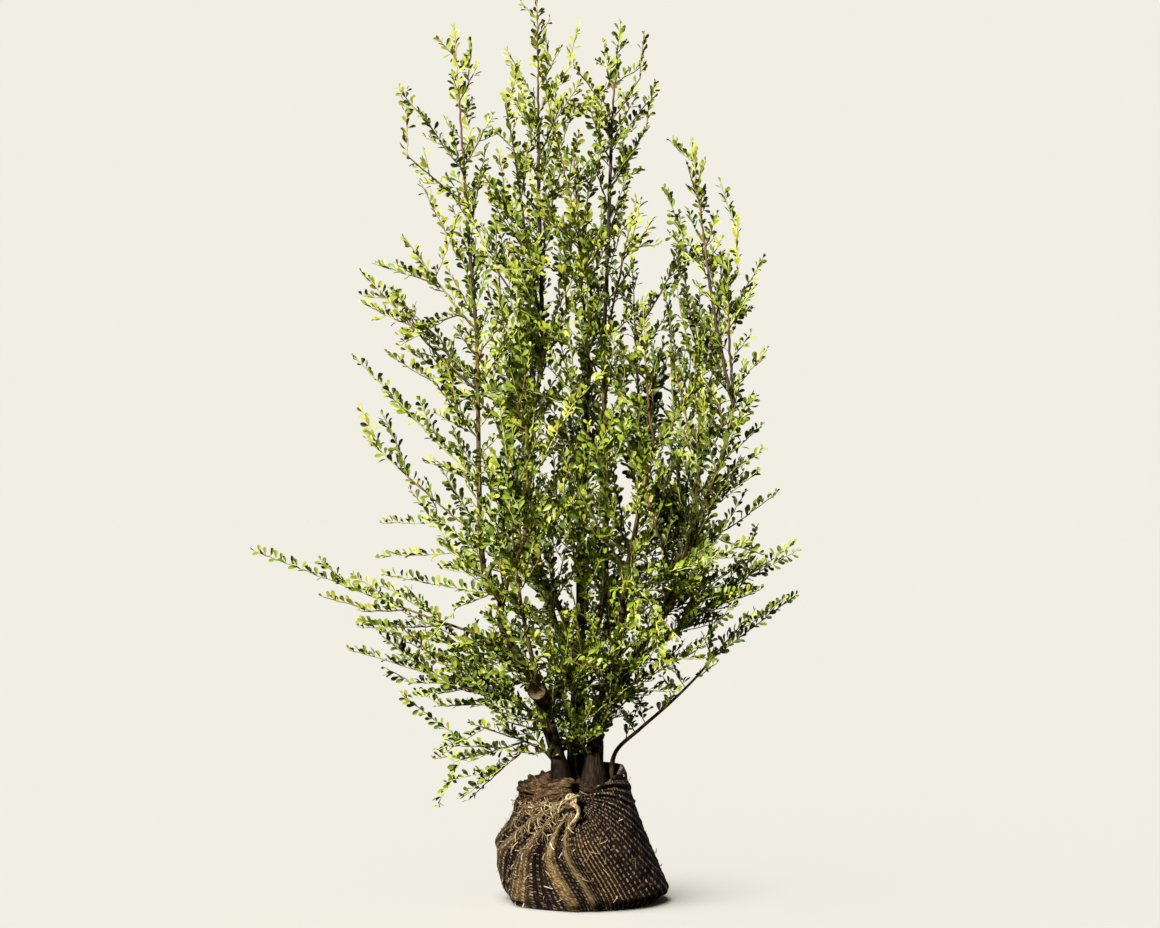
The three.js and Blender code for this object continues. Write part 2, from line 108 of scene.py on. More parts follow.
camera_data = bpy.data.cameras.new("camera")
camera_data.lens = 80
camera_data.sensor_width = 36
camera = bpy.data.objects.new("camera", camera_data)
camera.location = (0, -CAMERA_DISTANCE, CAMERA_HEIGHT)
camera.rotation_euler = (math.radians(90), 0, 0)
bpy.context.scene.collection.objects.link(camera)
bpy.context.scene.camera = camera
print(f"camera {CAMERA_DISTANCE} m in front, {CAMERA_HEIGHT} m up")

# %% [markdown]
# ## Small helpers
# A lesson is easier to follow when the dull parts are short. One function turns a hex colour to
# the linear numbers that a renderer adds up, one adds a shader node with its settings and links,
# and one makes a mesh object that rides on the root body, as everything on the plant does.

# %% Colour
def linear(hex_colour):
    """The linear colour, with alpha, of an sRGB hex value such as 'a5bd34'."""
    channels = [int(hex_colour[i:i + 2], 16) / 255 for i in (0, 2, 4)]
    curve = [c / 12.92 if c <= 0.04045 else ((c + 0.055) / 1.055) ** 2.4 for c in channels]
    return (*curve, 1.0)


# %% Shader nodes
def add_node(material, kind, settings=None, stops=(), **inputs):
    """A shader node of a kind. An input given as a (node, output) pair is linked, any other set.
    An input may also go by its number, as i0, i1. Stops are a colour ramp's (position, hex)."""
    tree = material.node_tree
    node = tree.nodes.new("ShaderNode" + kind)
    for key, value in (settings or {}).items():
        setattr(node, key, value)
    for number, (position, colour) in enumerate(stops):
        if number > 1:
            node.color_ramp.elements.new(position)
        node.color_ramp.elements[number].position = position
        node.color_ramp.elements[number].color = linear(colour)
    for key, value in inputs.items():
        numbered = key[0] == "i" and key[1:].isdigit()
        socket = node.inputs[int(key[1:])] if numbered else node.inputs[key.replace("_", " ")]
        if isinstance(value, tuple) and isinstance(value[0], bpy.types.Node):
            tree.links.new(value[0].outputs[value[1]], socket)
        else:
            socket.default_value = value
    return node


def new_material(name, colour, roughness, ior=1.45):
    """A material with one Principled shader, and that shader. Most dry, natural stuff has an
    IOR near 1.45."""
    material = bpy.data.materials.new(name)
    material.use_nodes = True
    material.diffuse_color = linear(colour)
    shader = material.node_tree.nodes["Principled BSDF"]
    shader.inputs["Base Color"].default_value = linear(colour)
    shader.inputs["Roughness"].default_value = roughness
    shader.inputs["IOR"].default_value = ior
    return material, shader


def link(material, node, output, shader, socket):
    """Links a node's output to one of the shader's sockets."""
    material.node_tree.links.new(node.outputs[output], shader.inputs[socket])


# %% Mesh objects
def make_piece(name, points, faces, materials, worn=None, corner_map=None, smooth=True):
    """A mesh object on the root body. worn gives each face's material number, and corner_map a UV
    for each corner of each face."""
    mesh = bpy.data.meshes.new(name)
    mesh.from_pydata(points, [], faces)
    for material in materials:
        mesh.materials.append(material)
    if worn is not None:
        mesh.polygons.foreach_set("material_index", worn)
    if corner_map is not None:
        layer = mesh.uv_layers.new(name="cloth_lines")
        layer.uv.foreach_set("vector", np.asarray(corner_map, np.float32).ravel())
    mesh.polygons.foreach_set("use_smooth", np.full(len(mesh.polygons), smooth))
    mesh.update()
    piece = bpy.data.objects.new(name, mesh)
    bpy.context.scene.collection.objects.link(piece)
    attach(piece, "root")
    return piece


def grid_faces(rows, columns, closed=True):
    """Quads of a grid of points, row by row. A closed grid joins its last column to its first."""
    across = columns if closed else columns - 1
    faces = []
    for row in range(rows - 1):
        for column in range(across):
            beside = (column + 1) % columns
            a = row * columns + column
            b = row * columns + beside
            faces.append((a, b, b + columns, a + columns))
    return faces


def end_cap(rows, columns, middle):
    """Triangles from a grid's last row to the point at its middle, given by its number."""
    last = (rows - 1) * columns
    return [(last + i, last + (i + 1) % columns, middle) for i in range(columns)]


def unit(vectors):
    """Vectors, along the last axis, at length one."""
    length = np.linalg.norm(vectors, axis=-1, keepdims=True)
    return vectors / np.maximum(length, 1e-9)


# %% Repeatable noise
# every choice left to chance comes from seeded dice, so each run grows the same shrub
dice = np.random.default_rng(31)
# sines rarely peak together, so their mean is stretched to fill the range
WAVE_GAIN = 1.9
DIRECTIONS = 5


def waves(points, scale, seed, octaves=3):
    """Smooth noise from -1 to 1 at each point, built from sines in turned directions."""
    chance = np.random.default_rng(seed)
    total = np.zeros(len(points))
    weight = 0.0
    for octave in range(octaves):
        for _ in range(DIRECTIONS):
            direction = unit(chance.normal(size=3))
            phase = chance.uniform(0, 2 * math.pi)
            strength = 0.5 ** octave
            angle = points @ direction * 2 * math.pi * 2 ** octave / scale + phase
            total += strength * np.sin(angle)
            weight += strength
    return WAVE_GAIN * total / weight


# %% [markdown]
# ## Reading the plain solids
# The limbs of the plain model are five-sided tubes, made ring by ring. Reading those rings back
# gives each limb's middle line and thickness, so that everything grown here starts exactly on
# the model. The glTF format repeats a corner for every face that uses it, so the corners are
# joined first. A tube is then walked from the middle of its tip, one ring of neighbours at a
# time. The walk stops where a fork's notch breaks the rings, and the line is carried on from
# there into the parent limb.

# %% Join the corners
def joined(name):
    """A node's corners without doubles, and its triangles."""
    mesh = frame["nodes"][name].data
    points = np.empty(3 * len(mesh.vertices), np.float32)
    mesh.vertices.foreach_get("co", points)
    points = points.reshape(-1, 3)
    corners = np.array([polygon.vertices[:] for polygon in mesh.polygons])
    places, number = np.unique(np.round(points, 6), axis=0, return_inverse=True)
    return places.astype(float), number.ravel()[corners]


def neighbours(triangles):
    """For each corner number, the set of corners it shares an edge with."""
    around = {}
    for a, b, c in triangles.tolist():
        around.setdefault(a, set()).update((b, c))
        around.setdefault(b, set()).update((c, a))
        around.setdefault(c, set()).update((a, b))
    return around


# %% Walk each limb's rings
LIMB_SIDES = 5
SOIL_MIDDLE = np.array([0, 0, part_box("root_ball")[1].z])


def tip_corner(places, around):
    """The middle of the limb's end cap: it has five neighbours, all in one plane with it."""
    best = (0, None)
    for corner, ring in around.items():
        if len(ring) != LIMB_SIDES:
            continue
        spokes = places[list(ring)] - places[corner]
        flatness = np.linalg.svd(spokes, compute_uv=False)[-1]
        if flatness < 2e-5:
            best = max(best, (np.linalg.norm(places[corner] - SOIL_MIDDLE), corner))
    return best[1]


def limb_rings(name):
    """Middles and radii of a limb's whole rings, from the foot to the tip."""
    places, triangles = joined(name)
    around = neighbours(triangles)
    layer = {tip_corner(places, around)}
    seen = set(layer)
    middles, radii = [], []
    while True:
        layer = set().union(*(around[corner] for corner in layer)) - seen
        if len(layer) != LIMB_SIDES:
            break
        seen |= layer
        ring = places[list(layer)]
        middles.append(ring.mean(axis=0))
        radii.append(np.linalg.norm(ring - middles[-1], axis=1).mean())
    return np.array(middles[::-1]), np.array(radii[::-1])


rings = {name: limb_rings(name) for name in limb_names}
print("rings per limb:", {name: len(rings[name][0]) for name in limb_names})

# %% [markdown]
# ## From rings to smooth limbs
# A curve through the rings (Catmull-Rom, which passes through every given point) makes the
# limbs bend smoothly. Limbs that stand on the soil come first. Each other limb is lengthened to
# the nearest point of a limb already placed, which is its parent: real wood doesn't butt
# against wood, it runs into it.

# %% Smooth curves
def smooth_curve(points, values, step):
    """Points and values about every step along a Catmull-Rom curve through the points."""
    padded = np.vstack([2 * points[0] - points[1], points, 2 * points[-1] - points[-2]])
    places, amounts = [], []
    for i in range(len(points) - 1):
        p0, p1, p2, p3 = padded[i:i + 4]
        count = max(2, round(np.linalg.norm(p2 - p1) / step))
        for t in np.arange(count) / count:
            bend = (-p0 + 3 * p1 - 3 * p2 + p3) * t ** 3
            bow = (2 * p0 - 5 * p1 + 4 * p2 - p3) * t ** 2
            places.append(0.5 * (bend + bow + (p2 - p0) * t + 2 * p1))
            amounts.append(values[i] + (values[i + 1] - values[i]) * t)
    places.append(points[-1])
    amounts.append(values[-1])
    return np.array(places), np.array(amounts)


# %% Place the limbs and find their parents
WOOD_STEP = 0.006
soil_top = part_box("root_ball")[1].z
limbs = {}


def ground_limb(name):
    """A limb that stands on the soil, carried down to just under its surface."""
    middles, radii = rings[name]
    lean = (middles[0] - middles[1]) / (middles[0] - middles[1])[2]
    foot = middles[0] + lean * (soil_top - 0.004 - middles[0][2])
    if middles[0][2] - soil_top > 0.002:
        middles = np.vstack([foot, middles])
        radii = np.append(radii[0], radii)
    else:
        middles = np.vstack([foot, middles[1:]])
    return smooth_curve(middles, radii, WOOD_STEP)


def nearest_wood(point, names):
    """The named limb that passes nearest to a point, and the number of its nearest place."""
    best = (9.0, None, 0)
    for name in names:
        away = np.linalg.norm(limbs[name][0] - point, axis=1)
        best = min(best, (away.min(), name, int(away.argmin())))
    return best


on_soil = [name for name in limb_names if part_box(name)[0].z < soil_top + 0.002]
for name in on_soil:
    limbs[name] = ground_limb(name)
waiting = [name for name in limb_names if name not in limbs]
parents = {}
while waiting:
    feet = {}
    for name in waiting:
        middles = rings[name][0]
        behind = middles[0] - unit(middles[1] - middles[0]) * 0.03
        feet[name] = nearest_wood(behind, limbs)
    name = min(waiting, key=lambda each: feet[each][0])
    _, parent, at = feet[name]
    at = max(2, at - 2)
    middles, radii = rings[name]
    middles = np.vstack([limbs[parent][0][at], middles])
    radii = np.append(radii[0] * 1.1, radii)
    limbs[name] = smooth_curve(middles, radii, WOOD_STEP)
    parents[name] = (parent, at)
    waiting.remove(name)
print("parents:", {name: place[0] for name, place in parents.items()})
print("wood:", round(sum(len(places) for places, _ in limbs.values()) * WOOD_STEP, 2), "m")

# %% [markdown]
# ## Growing the shoots
# A shrub like this one is built of long, thin, nearly straight shoots, that fork off at 30 to 45
# degrees and then turn up towards the light. Modelling thousands of them by hand is hopeless,
# and a particle system knows nothing of forks. So the shoots grow by a rule. A target point is
# picked in a mass, the best place on the wood so far to start from is found, and a shoot runs
# from there to the target on one easy curve, with a bud every 9.5 mm. The first targets are the
# points of the mass, which give the crown its outline. After that the target is always the
# emptiest place left, until the gaps are as small as the real ones.

# %% The wood so far
INTERNODE = 0.0095
ROOM = 60000
place = np.zeros((ROOM, 3))
way = np.zeros((ROOM, 3))
parent = np.full(ROOM, -1)
shoot_of = np.zeros(ROOM, int)
mass_of = np.full(ROOM, -1)
forks = np.zeros(ROOM)
limb_radius = np.zeros(ROOM)
grown = 0
shoots = []
limb_start = {}

for name in limbs:
    points, radii = limbs[name]
    limb_start[name] = grown
    count = len(points)
    span = slice(grown, grown + count)
    place[span] = points
    way[span] = unit(np.gradient(points, axis=0))
    parent[span] = np.arange(grown - 1, grown + count - 1)
    parent[grown] = -1
    if name in parents:
        parent[grown] = limb_start[parents[name][0]] + parents[name][1]
    limb_radius[span] = radii
    shoot_of[span] = -1
    grown += count
limb_nodes = grown
print(f"{limb_nodes} places on {len(limbs)} limbs")


# %% One shoot
UP = np.array([0, 0, 1.0])
SHORT = 0.09
# degrees: the angle at which a shoot forks off most easily, and how far wider, narrower or away
# from the drift it may go before that costs as much as being twice as long
EASY_FORK = 26
WIDER, NARROWER, ASTRAY = 34, 60, 50
# metres by which a bud strays from the curve
WAVER = 0.0006
generation = np.zeros(ROOM)


def best_start(target, among, drift):
    """The place on the wood from which a shoot reaches the target with least length and bend,
    and most nearly along the drift, the way that the mass as a whole grows."""
    reach = target - place[among]
    length = np.linalg.norm(reach, axis=1) + 1e-6
    fork = np.degrees(np.arccos(np.clip((reach * way[among]).sum(axis=1) / length, -1, 1)))
    stray = np.degrees(np.arccos(np.clip(reach @ drift / length, -1, 1)))
    strain = np.where(fork > EASY_FORK, ((fork - EASY_FORK) / WIDER) ** 2,
                      ((EASY_FORK - fork) / NARROWER) ** 2)
    strain += (stray / ASTRAY) ** 2
    crowd = 1 + 0.25 * forks[among] + 0.10 * generation[among]
    cost = np.maximum(length, SHORT) * (1 + strain) * crowd
    best = int(cost.argmin())
    return int(among[best]), float(length[best])


def grow_shoot(target, among, mass, drift):
    """Grows a shoot to the target and gives its node numbers."""
    global grown
    start, length = best_start(target, among, drift)
    count = max(2, round(length / INTERNODE))
    ahead = unit(target - place[start])
    outward = ahead - way[start] * (ahead @ way[start])
    first = unit(ahead + 0.28 * outward)
    last = unit(ahead + 0.22 * drift)
    handles = [place[start], place[start] + first * 0.35 * length,
               target - last * 0.35 * length, target]
    t = (np.arange(1, count + 1) / count)[:, None]
    weights = ((1 - t) ** 3, 3 * t * (1 - t) ** 2, 3 * t ** 2 * (1 - t), t ** 3)
    points = sum(weight * handle for weight, handle in zip(weights, handles))
    points[:-1] += dice.normal(scale=WAVER, size=(count - 1, 3))
    numbers = np.arange(grown, grown + count)
    place[numbers] = points
    way[numbers] = unit(np.gradient(np.vstack([place[start], points]), axis=0)[1:])
    parent[numbers] = np.append(start, numbers[:-1])
    mass_of[numbers] = mass
    shoot_of[numbers] = len(shoots)
    generation[numbers] = generation[start] + 1
    forks[start] += 1
    shoots.append(numbers)
    grown += count
    return numbers


# %% What each mass is
TIP_CLEAR = 0.011
HORN_PULL = 0.65
BACKWARD = -0.1


def horns(places, triangles):
    """The sharp points of a solid, and the ways they point. Their neighbours lie to one side."""
    around = neighbours(triangles)
    points, ways = [], []
    for corner, ring in around.items():
        pull = unit(places[list(ring)] - places[corner]).mean(axis=0)
        if np.linalg.norm(pull) > HORN_PULL:
            points.append(places[corner] + unit(pull) * TIP_CLEAR)
            ways.append(-unit(pull))
    return np.array(points), np.array(ways)


masses = {}
for number, name in enumerate(mass_names):
    places, triangles = joined(name)
    tree = BVHTree.FromPolygons(places.tolist(), triangles.tolist())
    points, ways = horns(places, triangles)
    middle = places.mean(axis=0)
    far = points[np.linalg.norm(points - middle, axis=1).argmax()]
    outward = unit(middle * [1, 1, 0])
    # a leader grows upright, any other mass leans out from the middle of the crown
    rising, leaning_out = (0.60, 0) if name.endswith("leader") else (0.22, 0.55)
    drift = unit(unit(far - middle) + rising * UP + leaning_out * outward)
    points = points[ways @ drift > BACKWARD]
    masses[name] = {"number": number, "tree": tree, "horns": points, "drift": drift,
                    "low": places.min(axis=0), "high": places.max(axis=0)}
print("points to reach:", {name: len(mass["horns"]) for name, mass in masses.items()})


def inside(tree, points):
    """Which of the points lie inside a closed solid."""
    result = np.zeros(len(points), bool)
    for i, point in enumerate(points):
        spot, normal, _, _ = tree.find_nearest(point)
        result[i] = (Vector(point) - spot).dot(normal) < 0
    return result


def wood_near(mass, margin=0.04):
    """The numbers of all wood in a mass's box, and a margin round it."""
    spots = place[:grown]
    near = ((spots > mass["low"] - margin) & (spots < mass["high"] + margin)).all(axis=1)
    return np.flatnonzero(near)


# %% [markdown]
# ## Reaching the outline
# A crown isn't equally full. Light comes through it in a few places, where no shoot is sent, and
# it is thickest in a few others, where the shoots stand closer. Each place is a column from front
# to back: how far it is to the right, how high, and its radius, all in metres.

# %% Open and crowded places
OPEN = (
    (-0.140, 1.505, 0.050), (-0.140, 1.585, 0.050), (0.010, 1.575, 0.060), (0.140, 1.560, 0.040),
    (-0.280, 1.440, 0.035), (0.260, 1.315, 0.040), (0.140, 1.275, 0.045), (0.295, 1.222, 0.053),
    (-0.420, 0.490, 0.038), (-0.400, 0.370, 0.040), (-0.350, 0.350, 0.045), (-0.290, 0.315, 0.035),
    (0.350, 0.560, 0.036), (0.280, 0.481, 0.030), (0.215, 0.352, 0.055), (-0.350, 0.683, 0.038),
    (-0.297, 0.752, 0.026), (-0.292, 1.145, 0.034), (-0.350, 0.910, 0.022), (-0.285, 0.665, 0.028),
    (-0.290, 0.600, 0.022))
CROWDED = (
    (0.000, 1.330, 0.050), (-0.070, 0.980, 0.040), (-0.210, 0.770, 0.035), (0.210, 0.840, 0.045),
    (0.280, 0.840, 0.035), (0.140, 0.700, 0.045), (-0.175, 0.420, 0.050), (-0.140, 0.350, 0.035),
    (0.070, 0.805, 0.050), (0.000, 1.410, 0.045), (-0.210, 0.600, 0.035), (0.210, 0.460, 0.035),
    (0.280, 0.740, 0.035), (0.210, 0.525, 0.040))


def in_columns(points, columns):
    """Which points lie in any of the columns."""
    hit = np.zeros(len(points), bool)
    for right, high, reach in columns:
        hit |= np.hypot(points[:, 0] - right, points[:, 2] - high) < reach
    return hit


# %% [markdown]
# The crown's outline comes first. One shoot is sent to every sharp point of every mass, the
# furthest point first, so that later shoots can fork off it. A spire has one leader, and its
# other points are reached from that leader by short side shoots. They stop some way below its
# tip: a row of equal tips would look clipped.

# %% Reach every point of the masses
SPIRES = ("left_leader", "centre_leader", "right_leader", "left_wing", "front_top",
          "right_shoulder")
LEADER_CLEAR = 0.045
# the masses that hold most wood are filled first, because the others start from their shoots
order = sorted(masses, key=lambda name: -len(wood_near(masses[name], 0.02)))
for name in order:
    mass = masses[name]
    covered = ~in_columns(mass["horns"], OPEN)
    if covered.any():
        mass["horns"] = mass["horns"][covered]
    own = wood_near(mass, 0.01)
    own = own[own < limb_nodes]
    among = own if len(own) > 4 else np.arange(limb_nodes)
    away = [np.linalg.norm(place[among] - horn, axis=1).min() for horn in mass["horns"]]
    is_spire = name.removeprefix("mass_") in SPIRES
    for turn_number, i in enumerate(np.argsort(away)[::-1]):
        horn, drift = mass["horns"][i], mass["drift"]
        if is_spire and turn_number == 0:
            leader = grow_shoot(horn, among, mass["number"], drift)
            among = leader
            continue
        if is_spire and horn[2] > place[leader[-1], 2] - LEADER_CLEAR:
            continue
        if is_spire:
            # a spire is one leader with short side shoots, not a bundle of long ones
            beside = horn - place[leader[np.linalg.norm(place[leader] - horn, axis=1).argmin()]]
            drift = unit(drift + 0.9 * unit(beside))
        fresh = grow_shoot(horn, among, mass["number"], drift)
        among = np.append(among, fresh)
reaching = len(shoots)
print(f"{reaching} shoots reach the points, {grown - limb_nodes} buds")

# %% [markdown]
# ## Spurs
# A spur is a side twig that stays a few centimetres long. On the high shoots, spurs turn a bare
# whip into a leafy plume. On the old limbs they hide the wood, as they do on a hedge plant that
# has been clipped. They don't aim at a gap: each one is thrown a short way out from its bud. On
# a shoot each bud is turned by 2.4 radians, the golden angle, from the bud before it.

# %% Short spurs on the outermost shoots
SPUR_EVERY = 3
SPURS_ABOVE = 0.95
FEWEST_BUDS = 8
GOLDEN_TURN = 2.4
for numbers in shoots[:reaching]:
    if place[numbers[-1], 2] < SPURS_ABOVE or len(numbers) < FEWEST_BUDS:
        continue
    swing = dice.uniform(0, 2 * math.pi)
    for bud in numbers[2:-4:SPUR_EVERY]:
        swing += GOLDEN_TURN
        ahead = way[bud]
        side = unit(np.cross(ahead, [math.cos(swing), math.sin(swing), 0.3]))
        far = dice.uniform(0.018, 0.046)
        target = place[bud] + far * unit(ahead + 0.85 * side)
        grow_shoot(target, np.array([bud]), mass_of[bud], ahead)
print(f"{len(shoots) - reaching} spurs")

# %% Short spurs on the old limbs
LIMB_SPUR_EVERY = 4


def mass_round(point):
    """The number of the mass that holds a point, or that comes nearest to it."""
    depths = []
    for mass in masses.values():
        spot, normal, _, away = mass["tree"].find_nearest(point)
        depths.append(-away if (Vector(point) - spot).dot(normal) < 0 else away)
    return list(masses.values())[int(np.argmin(depths))]["number"]


# the stems are bare at their foot, and the boughs at the sides have spurs from lower down
bare_below = 0.34 - np.clip(np.abs(place[:limb_nodes, 0]) - 0.05, 0, 0.10)
old_wood = np.flatnonzero(place[:limb_nodes, 2] > bare_below)[::LIMB_SPUR_EVERY]
for bud in old_wood:
    swing = dice.normal(-0.5 * math.pi, 1.3)
    out = np.array([math.cos(swing), math.sin(swing), 0.45])
    target = place[bud] + dice.uniform(0.028, 0.058) * unit(out + 0.5 * way[bud])
    grow_shoot(target, np.array([bud]), mass_round(target), unit(out))
print(f"{len(old_wood)} spurs on the limbs")

# %% [markdown]
# ## Filling the crown
# A shoot that grows far inside the crown gets little light, and its leaves are dealt darker greens
# there as painted shade; near the outside the shoots stand further apart. Both need to know how
# deep a place lies. The crown is
# cut into small cells, and its outermost layer of cells is peeled off a few times: the peel that
# takes a cell away tells its depth.

# %% How deep each place lies in the crown
CELL = 0.012
SHELLS = 6
crown_low = np.min([mass["low"] for mass in masses.values()], axis=0) - CELL
crown_high = np.max([mass["high"] for mass in masses.values()], axis=0) + CELL
cells = np.ceil((crown_high - crown_low) / CELL).astype(int) + 1
filled = np.zeros(cells, bool)
for mass in masses.values():
    first = np.floor((mass["low"] - crown_low) / CELL).astype(int)
    last = np.ceil((mass["high"] - crown_low) / CELL).astype(int) + 1
    spans = np.meshgrid(*(np.arange(a, b) for a, b in zip(first, last)), indexing="ij")
    numbers = np.stack([span.ravel() for span in spans], axis=1)
    within = numbers[inside(mass["tree"], crown_low + numbers * CELL)]
    filled[tuple(within.T)] = True
depth_cells = filled.astype(float)
core = filled
for _ in range(1, SHELLS):
    thinner = core.copy()
    for side in range(3):
        for step in (-1, 1):
            thinner &= np.roll(core, step, axis=side)
    core = thinner
    depth_cells += core
print(f"crown volume {filled.sum() * CELL ** 3 * 1000:.0f} litres")


def depth_at(points):
    """How many metres below the crown's outside each point lies, at most SHELLS cells."""
    number = np.clip(np.round((points - crown_low) / CELL).astype(int), 0, cells - 1)
    return depth_cells[tuple(number.T)] * CELL


# %% [markdown]
# Now the masses are filled. Many chance places are tried in each, and the next shoot goes to the
# one that lies furthest from all wood. That is repeated until no gap is wider than the wanted
# one, first with wide gaps and then with finer ones, so the long shoots come before the short
# ones that fork off them. LOOSENESS widens the gaps of a mass that lets more light through than
# the others, and narrows those of a dense one. Near the outside some shoots run on past the mass
# as whips, which breaks its smooth surface.

# %% Fill the gaps, the emptiest place first
GAPS = (0.034, 0.022, 0.0143)
EDGE_LOOSENESS = 1.6
LOOSENESS = {"left_wing": 1.7, "left_low": 1.5, "left_mid": 1.4, "left_upper": 1.4,
             "right_shoulder": 1.25, "right_inner": 1.6, "right_mid": 1.15, "far_right": 1.4,
             "centre_right": 1.35, "front_upper": 1.6, "front_top": 1.15, "front_low_left": 1.3,
             "back_upper": 1.5, "centre_leader": 1.2, "back_low_left": 1.5, "back_low_right": 1.15,
             "far_left": 0.65, "left_droop": 0.65, "left_skirt": 0.8, "left_foot": 0.7,
             "right_low": 0.75, "heart_right": 0.8}
CROWDED_GAP = 0.68
EDGE_DEPTH = 0.055
WHIP = 0.026
DRIFT_CHANCE = 0.40
reach_low = np.array(cad_box[0]) + 0.008
reach_high = np.array(cad_box[1]) - 0.008
for gap in GAPS:
    for name in order:
        mass = masses[name]
        size = mass["high"] - mass["low"]
        tries = int(np.prod(size) / (gap * 0.45) ** 3)
        spots = mass["low"] + dice.random((tries, 3)) * size
        spots = spots[~in_columns(spots, OPEN)]
        spots = spots[inside(mass["tree"], spots)]
        if not len(spots):
            continue
        loose = 1 + EDGE_LOOSENESS * np.clip(1 - depth_at(spots) / EDGE_DEPTH, 0, 1)
        loose *= LOOSENESS.get(name.removeprefix("mass_"), 1)
        loose *= np.where(in_columns(spots, CROWDED), CROWDED_GAP, 1)
        among = wood_near(mass, 0.08)
        tree = KDTree(len(among))
        for i in among:
            tree.insert(place[i], int(i))
        tree.balance()
        away = np.array([tree.find(spot)[2] for spot in spots]) / loose
        while away.max() > gap:
            target = spots[away.argmax()]
            drift = unit(mass["drift"] + dice.normal(scale=DRIFT_CHANCE, size=3))
            if depth_at(target[None])[0] < 0.4 * EDGE_DEPTH:
                target = np.clip(target + drift * dice.uniform(0, WHIP), reach_low, reach_high)
            fresh = grow_shoot(target, among, mass["number"], drift)
            among = np.append(among, fresh)
            steps = spots[:, None] - place[fresh]
            away = np.minimum(away, np.sqrt((steps ** 2).sum(axis=2)).min(axis=1) / loose)
            # a place that no bud could come close to must not be picked for ever
            away[away.argmax()] *= 0.999
    print(f"gaps under {gap * 1000:.0f} mm: {len(shoots)} shoots, {grown - limb_nodes} buds")

# %% [markdown]
# ## The foot of the bush
# Old shrubs sprout from their stems, so the foot is a thicket of short, thin twigs with small
# dark leaves, which almost hides the stems. These targets lie in an upright funnel round them,
# most of them in front and to the sides, and the shoots start anywhere on the lowest wood.

# %% Low twigs round the stems
FOOT_TWIGS = 165
FOOT_LOW, FOOT_HIGH = 0.285, 0.52
FOOT_MIDDLE = (0.010, -0.012)
thicket = masses["mass_foot_front"]["number"]
among = np.flatnonzero(np.linalg.norm(place[:grown] - [0.01, -0.02, 0.36], axis=1) < 0.20)
for _ in range(FOOT_TWIGS):
    height = FOOT_LOW + (FOOT_HIGH - FOOT_LOW) * dice.uniform() ** 0.8
    wide = 0.056 + 0.50 * (height - FOOT_LOW)
    swing = dice.normal(-0.5 * math.pi, 1.2)
    out = wide * math.sqrt(dice.uniform(0.15, 1))
    target = np.array([FOOT_MIDDLE[0] + 1.15 * out * math.cos(swing),
                       FOOT_MIDDLE[1] + out * math.sin(swing), height])
    drift = unit(np.array([math.cos(swing), math.sin(swing), 0.8])
                 + dice.normal(scale=0.4, size=3))
    fresh = grow_shoot(target, among, thicket, drift)
    among = np.append(among, fresh)
print(f"{FOOT_TWIGS} low twigs, {grown - limb_nodes} buds in all")

# %% [markdown]
# ## How thick each shoot is
# Every leaf is fed through the wood below it, so the wood's cross-section grows with what it
# feeds. Counting from the tips down, each place on the wood carries the load of all that grows
# from it, and its radius goes with the load to the power 1 / 2.8. The limbs keep the plain
# model's own thickness, except towards their ends.

# %% Thickness from load
TIP_RADIUS = 0.00080
LOAD_POWER = 1 / 2.8
BUD_LOAD = 0.06

load = np.zeros(grown)
load[limb_nodes:] = BUD_LOAD
tips = np.array([numbers[-1] for numbers in shoots])
load[tips] += 1
for i in range(grown - 1, -1, -1):
    if parent[i] >= 0:
        load[parent[i]] += load[i]
radius = TIP_RADIUS * (1 + load) ** LOAD_POWER
print(f"thickest shoot {2000 * radius[limb_nodes:].max():.1f} mm")

# %% [markdown]
# ## Bark
# The old wood has thin, brown-grey bark that splits lengthwise into shallow ridges. Each limb is
# a tube of twenty sides with a ring every 6 mm: enough for real ridges, for a swollen collar
# where a side limb starts, and for a root flare at the soil. The finer cracks are left to the
# material. Its noise is stretched along the grain, so the grain has to follow every bend: each
# corner keeps its place round and along the limb, as if the limb were straight, in a mesh
# attribute that the material reads. Two more attributes say how dark the bark is towards the soil,
# where it is damp and stained and also carries painted shade from the crown, and how young it is,
# which it is towards a limb's end.

# %% Bark finish
# old bark is dry, rough cork, so it has next to no shine
bark, bark_shader = new_material("ridged shrub bark", "6b563c", 0.82)
bark_shader.inputs["Specular IOR Level"].default_value = 0.25
grain = add_node(bark, "Attribute", {"attribute_name": "grain"})
# ridges about 3 mm wide and 20 mm long, in the attribute's millimetres
ridges = add_node(bark, "TexNoise", Vector=(grain, "Vector"), Scale=0.3, Detail=5.0,
                  Roughness=0.6)
# patches of algae and weathering, about 20 mm across and drawn out along the limb
weather = add_node(bark, "TexNoise", Vector=(grain, "Vector"), Scale=0.05, Detail=2.0)
ridge_tone = add_node(bark, "ValToRGB", Fac=(ridges, "Fac"), stops=[
    (0.32, "17100a"), (0.48, "402f1f"), (0.62, "6d553b"), (0.74, "977c59")])
algae = add_node(bark, "ValToRGB", Fac=(weather, "Fac"), stops=[
    (0.42, "ffffff"), (0.62, "b9c79a")])
tone = add_node(bark, "Mix", {"data_type": "RGBA", "blend_type": "MULTIPLY"}, i0=1.0,
                i6=(ridge_tone, "Color"), i7=(algae, "Color"))
# near the soil the bark is damp and stained dark, and this darkening is also painted shade from the
# crown above
damp = add_node(bark, "Attribute", {"attribute_name": "damp"})
damp_and_shade_tone = add_node(bark, "Mix", {"data_type": "RGBA", "blend_type": "MULTIPLY"}, i0=(damp, "Fac"),
                     i6=(tone, 2), i7=linear("5d5143"))
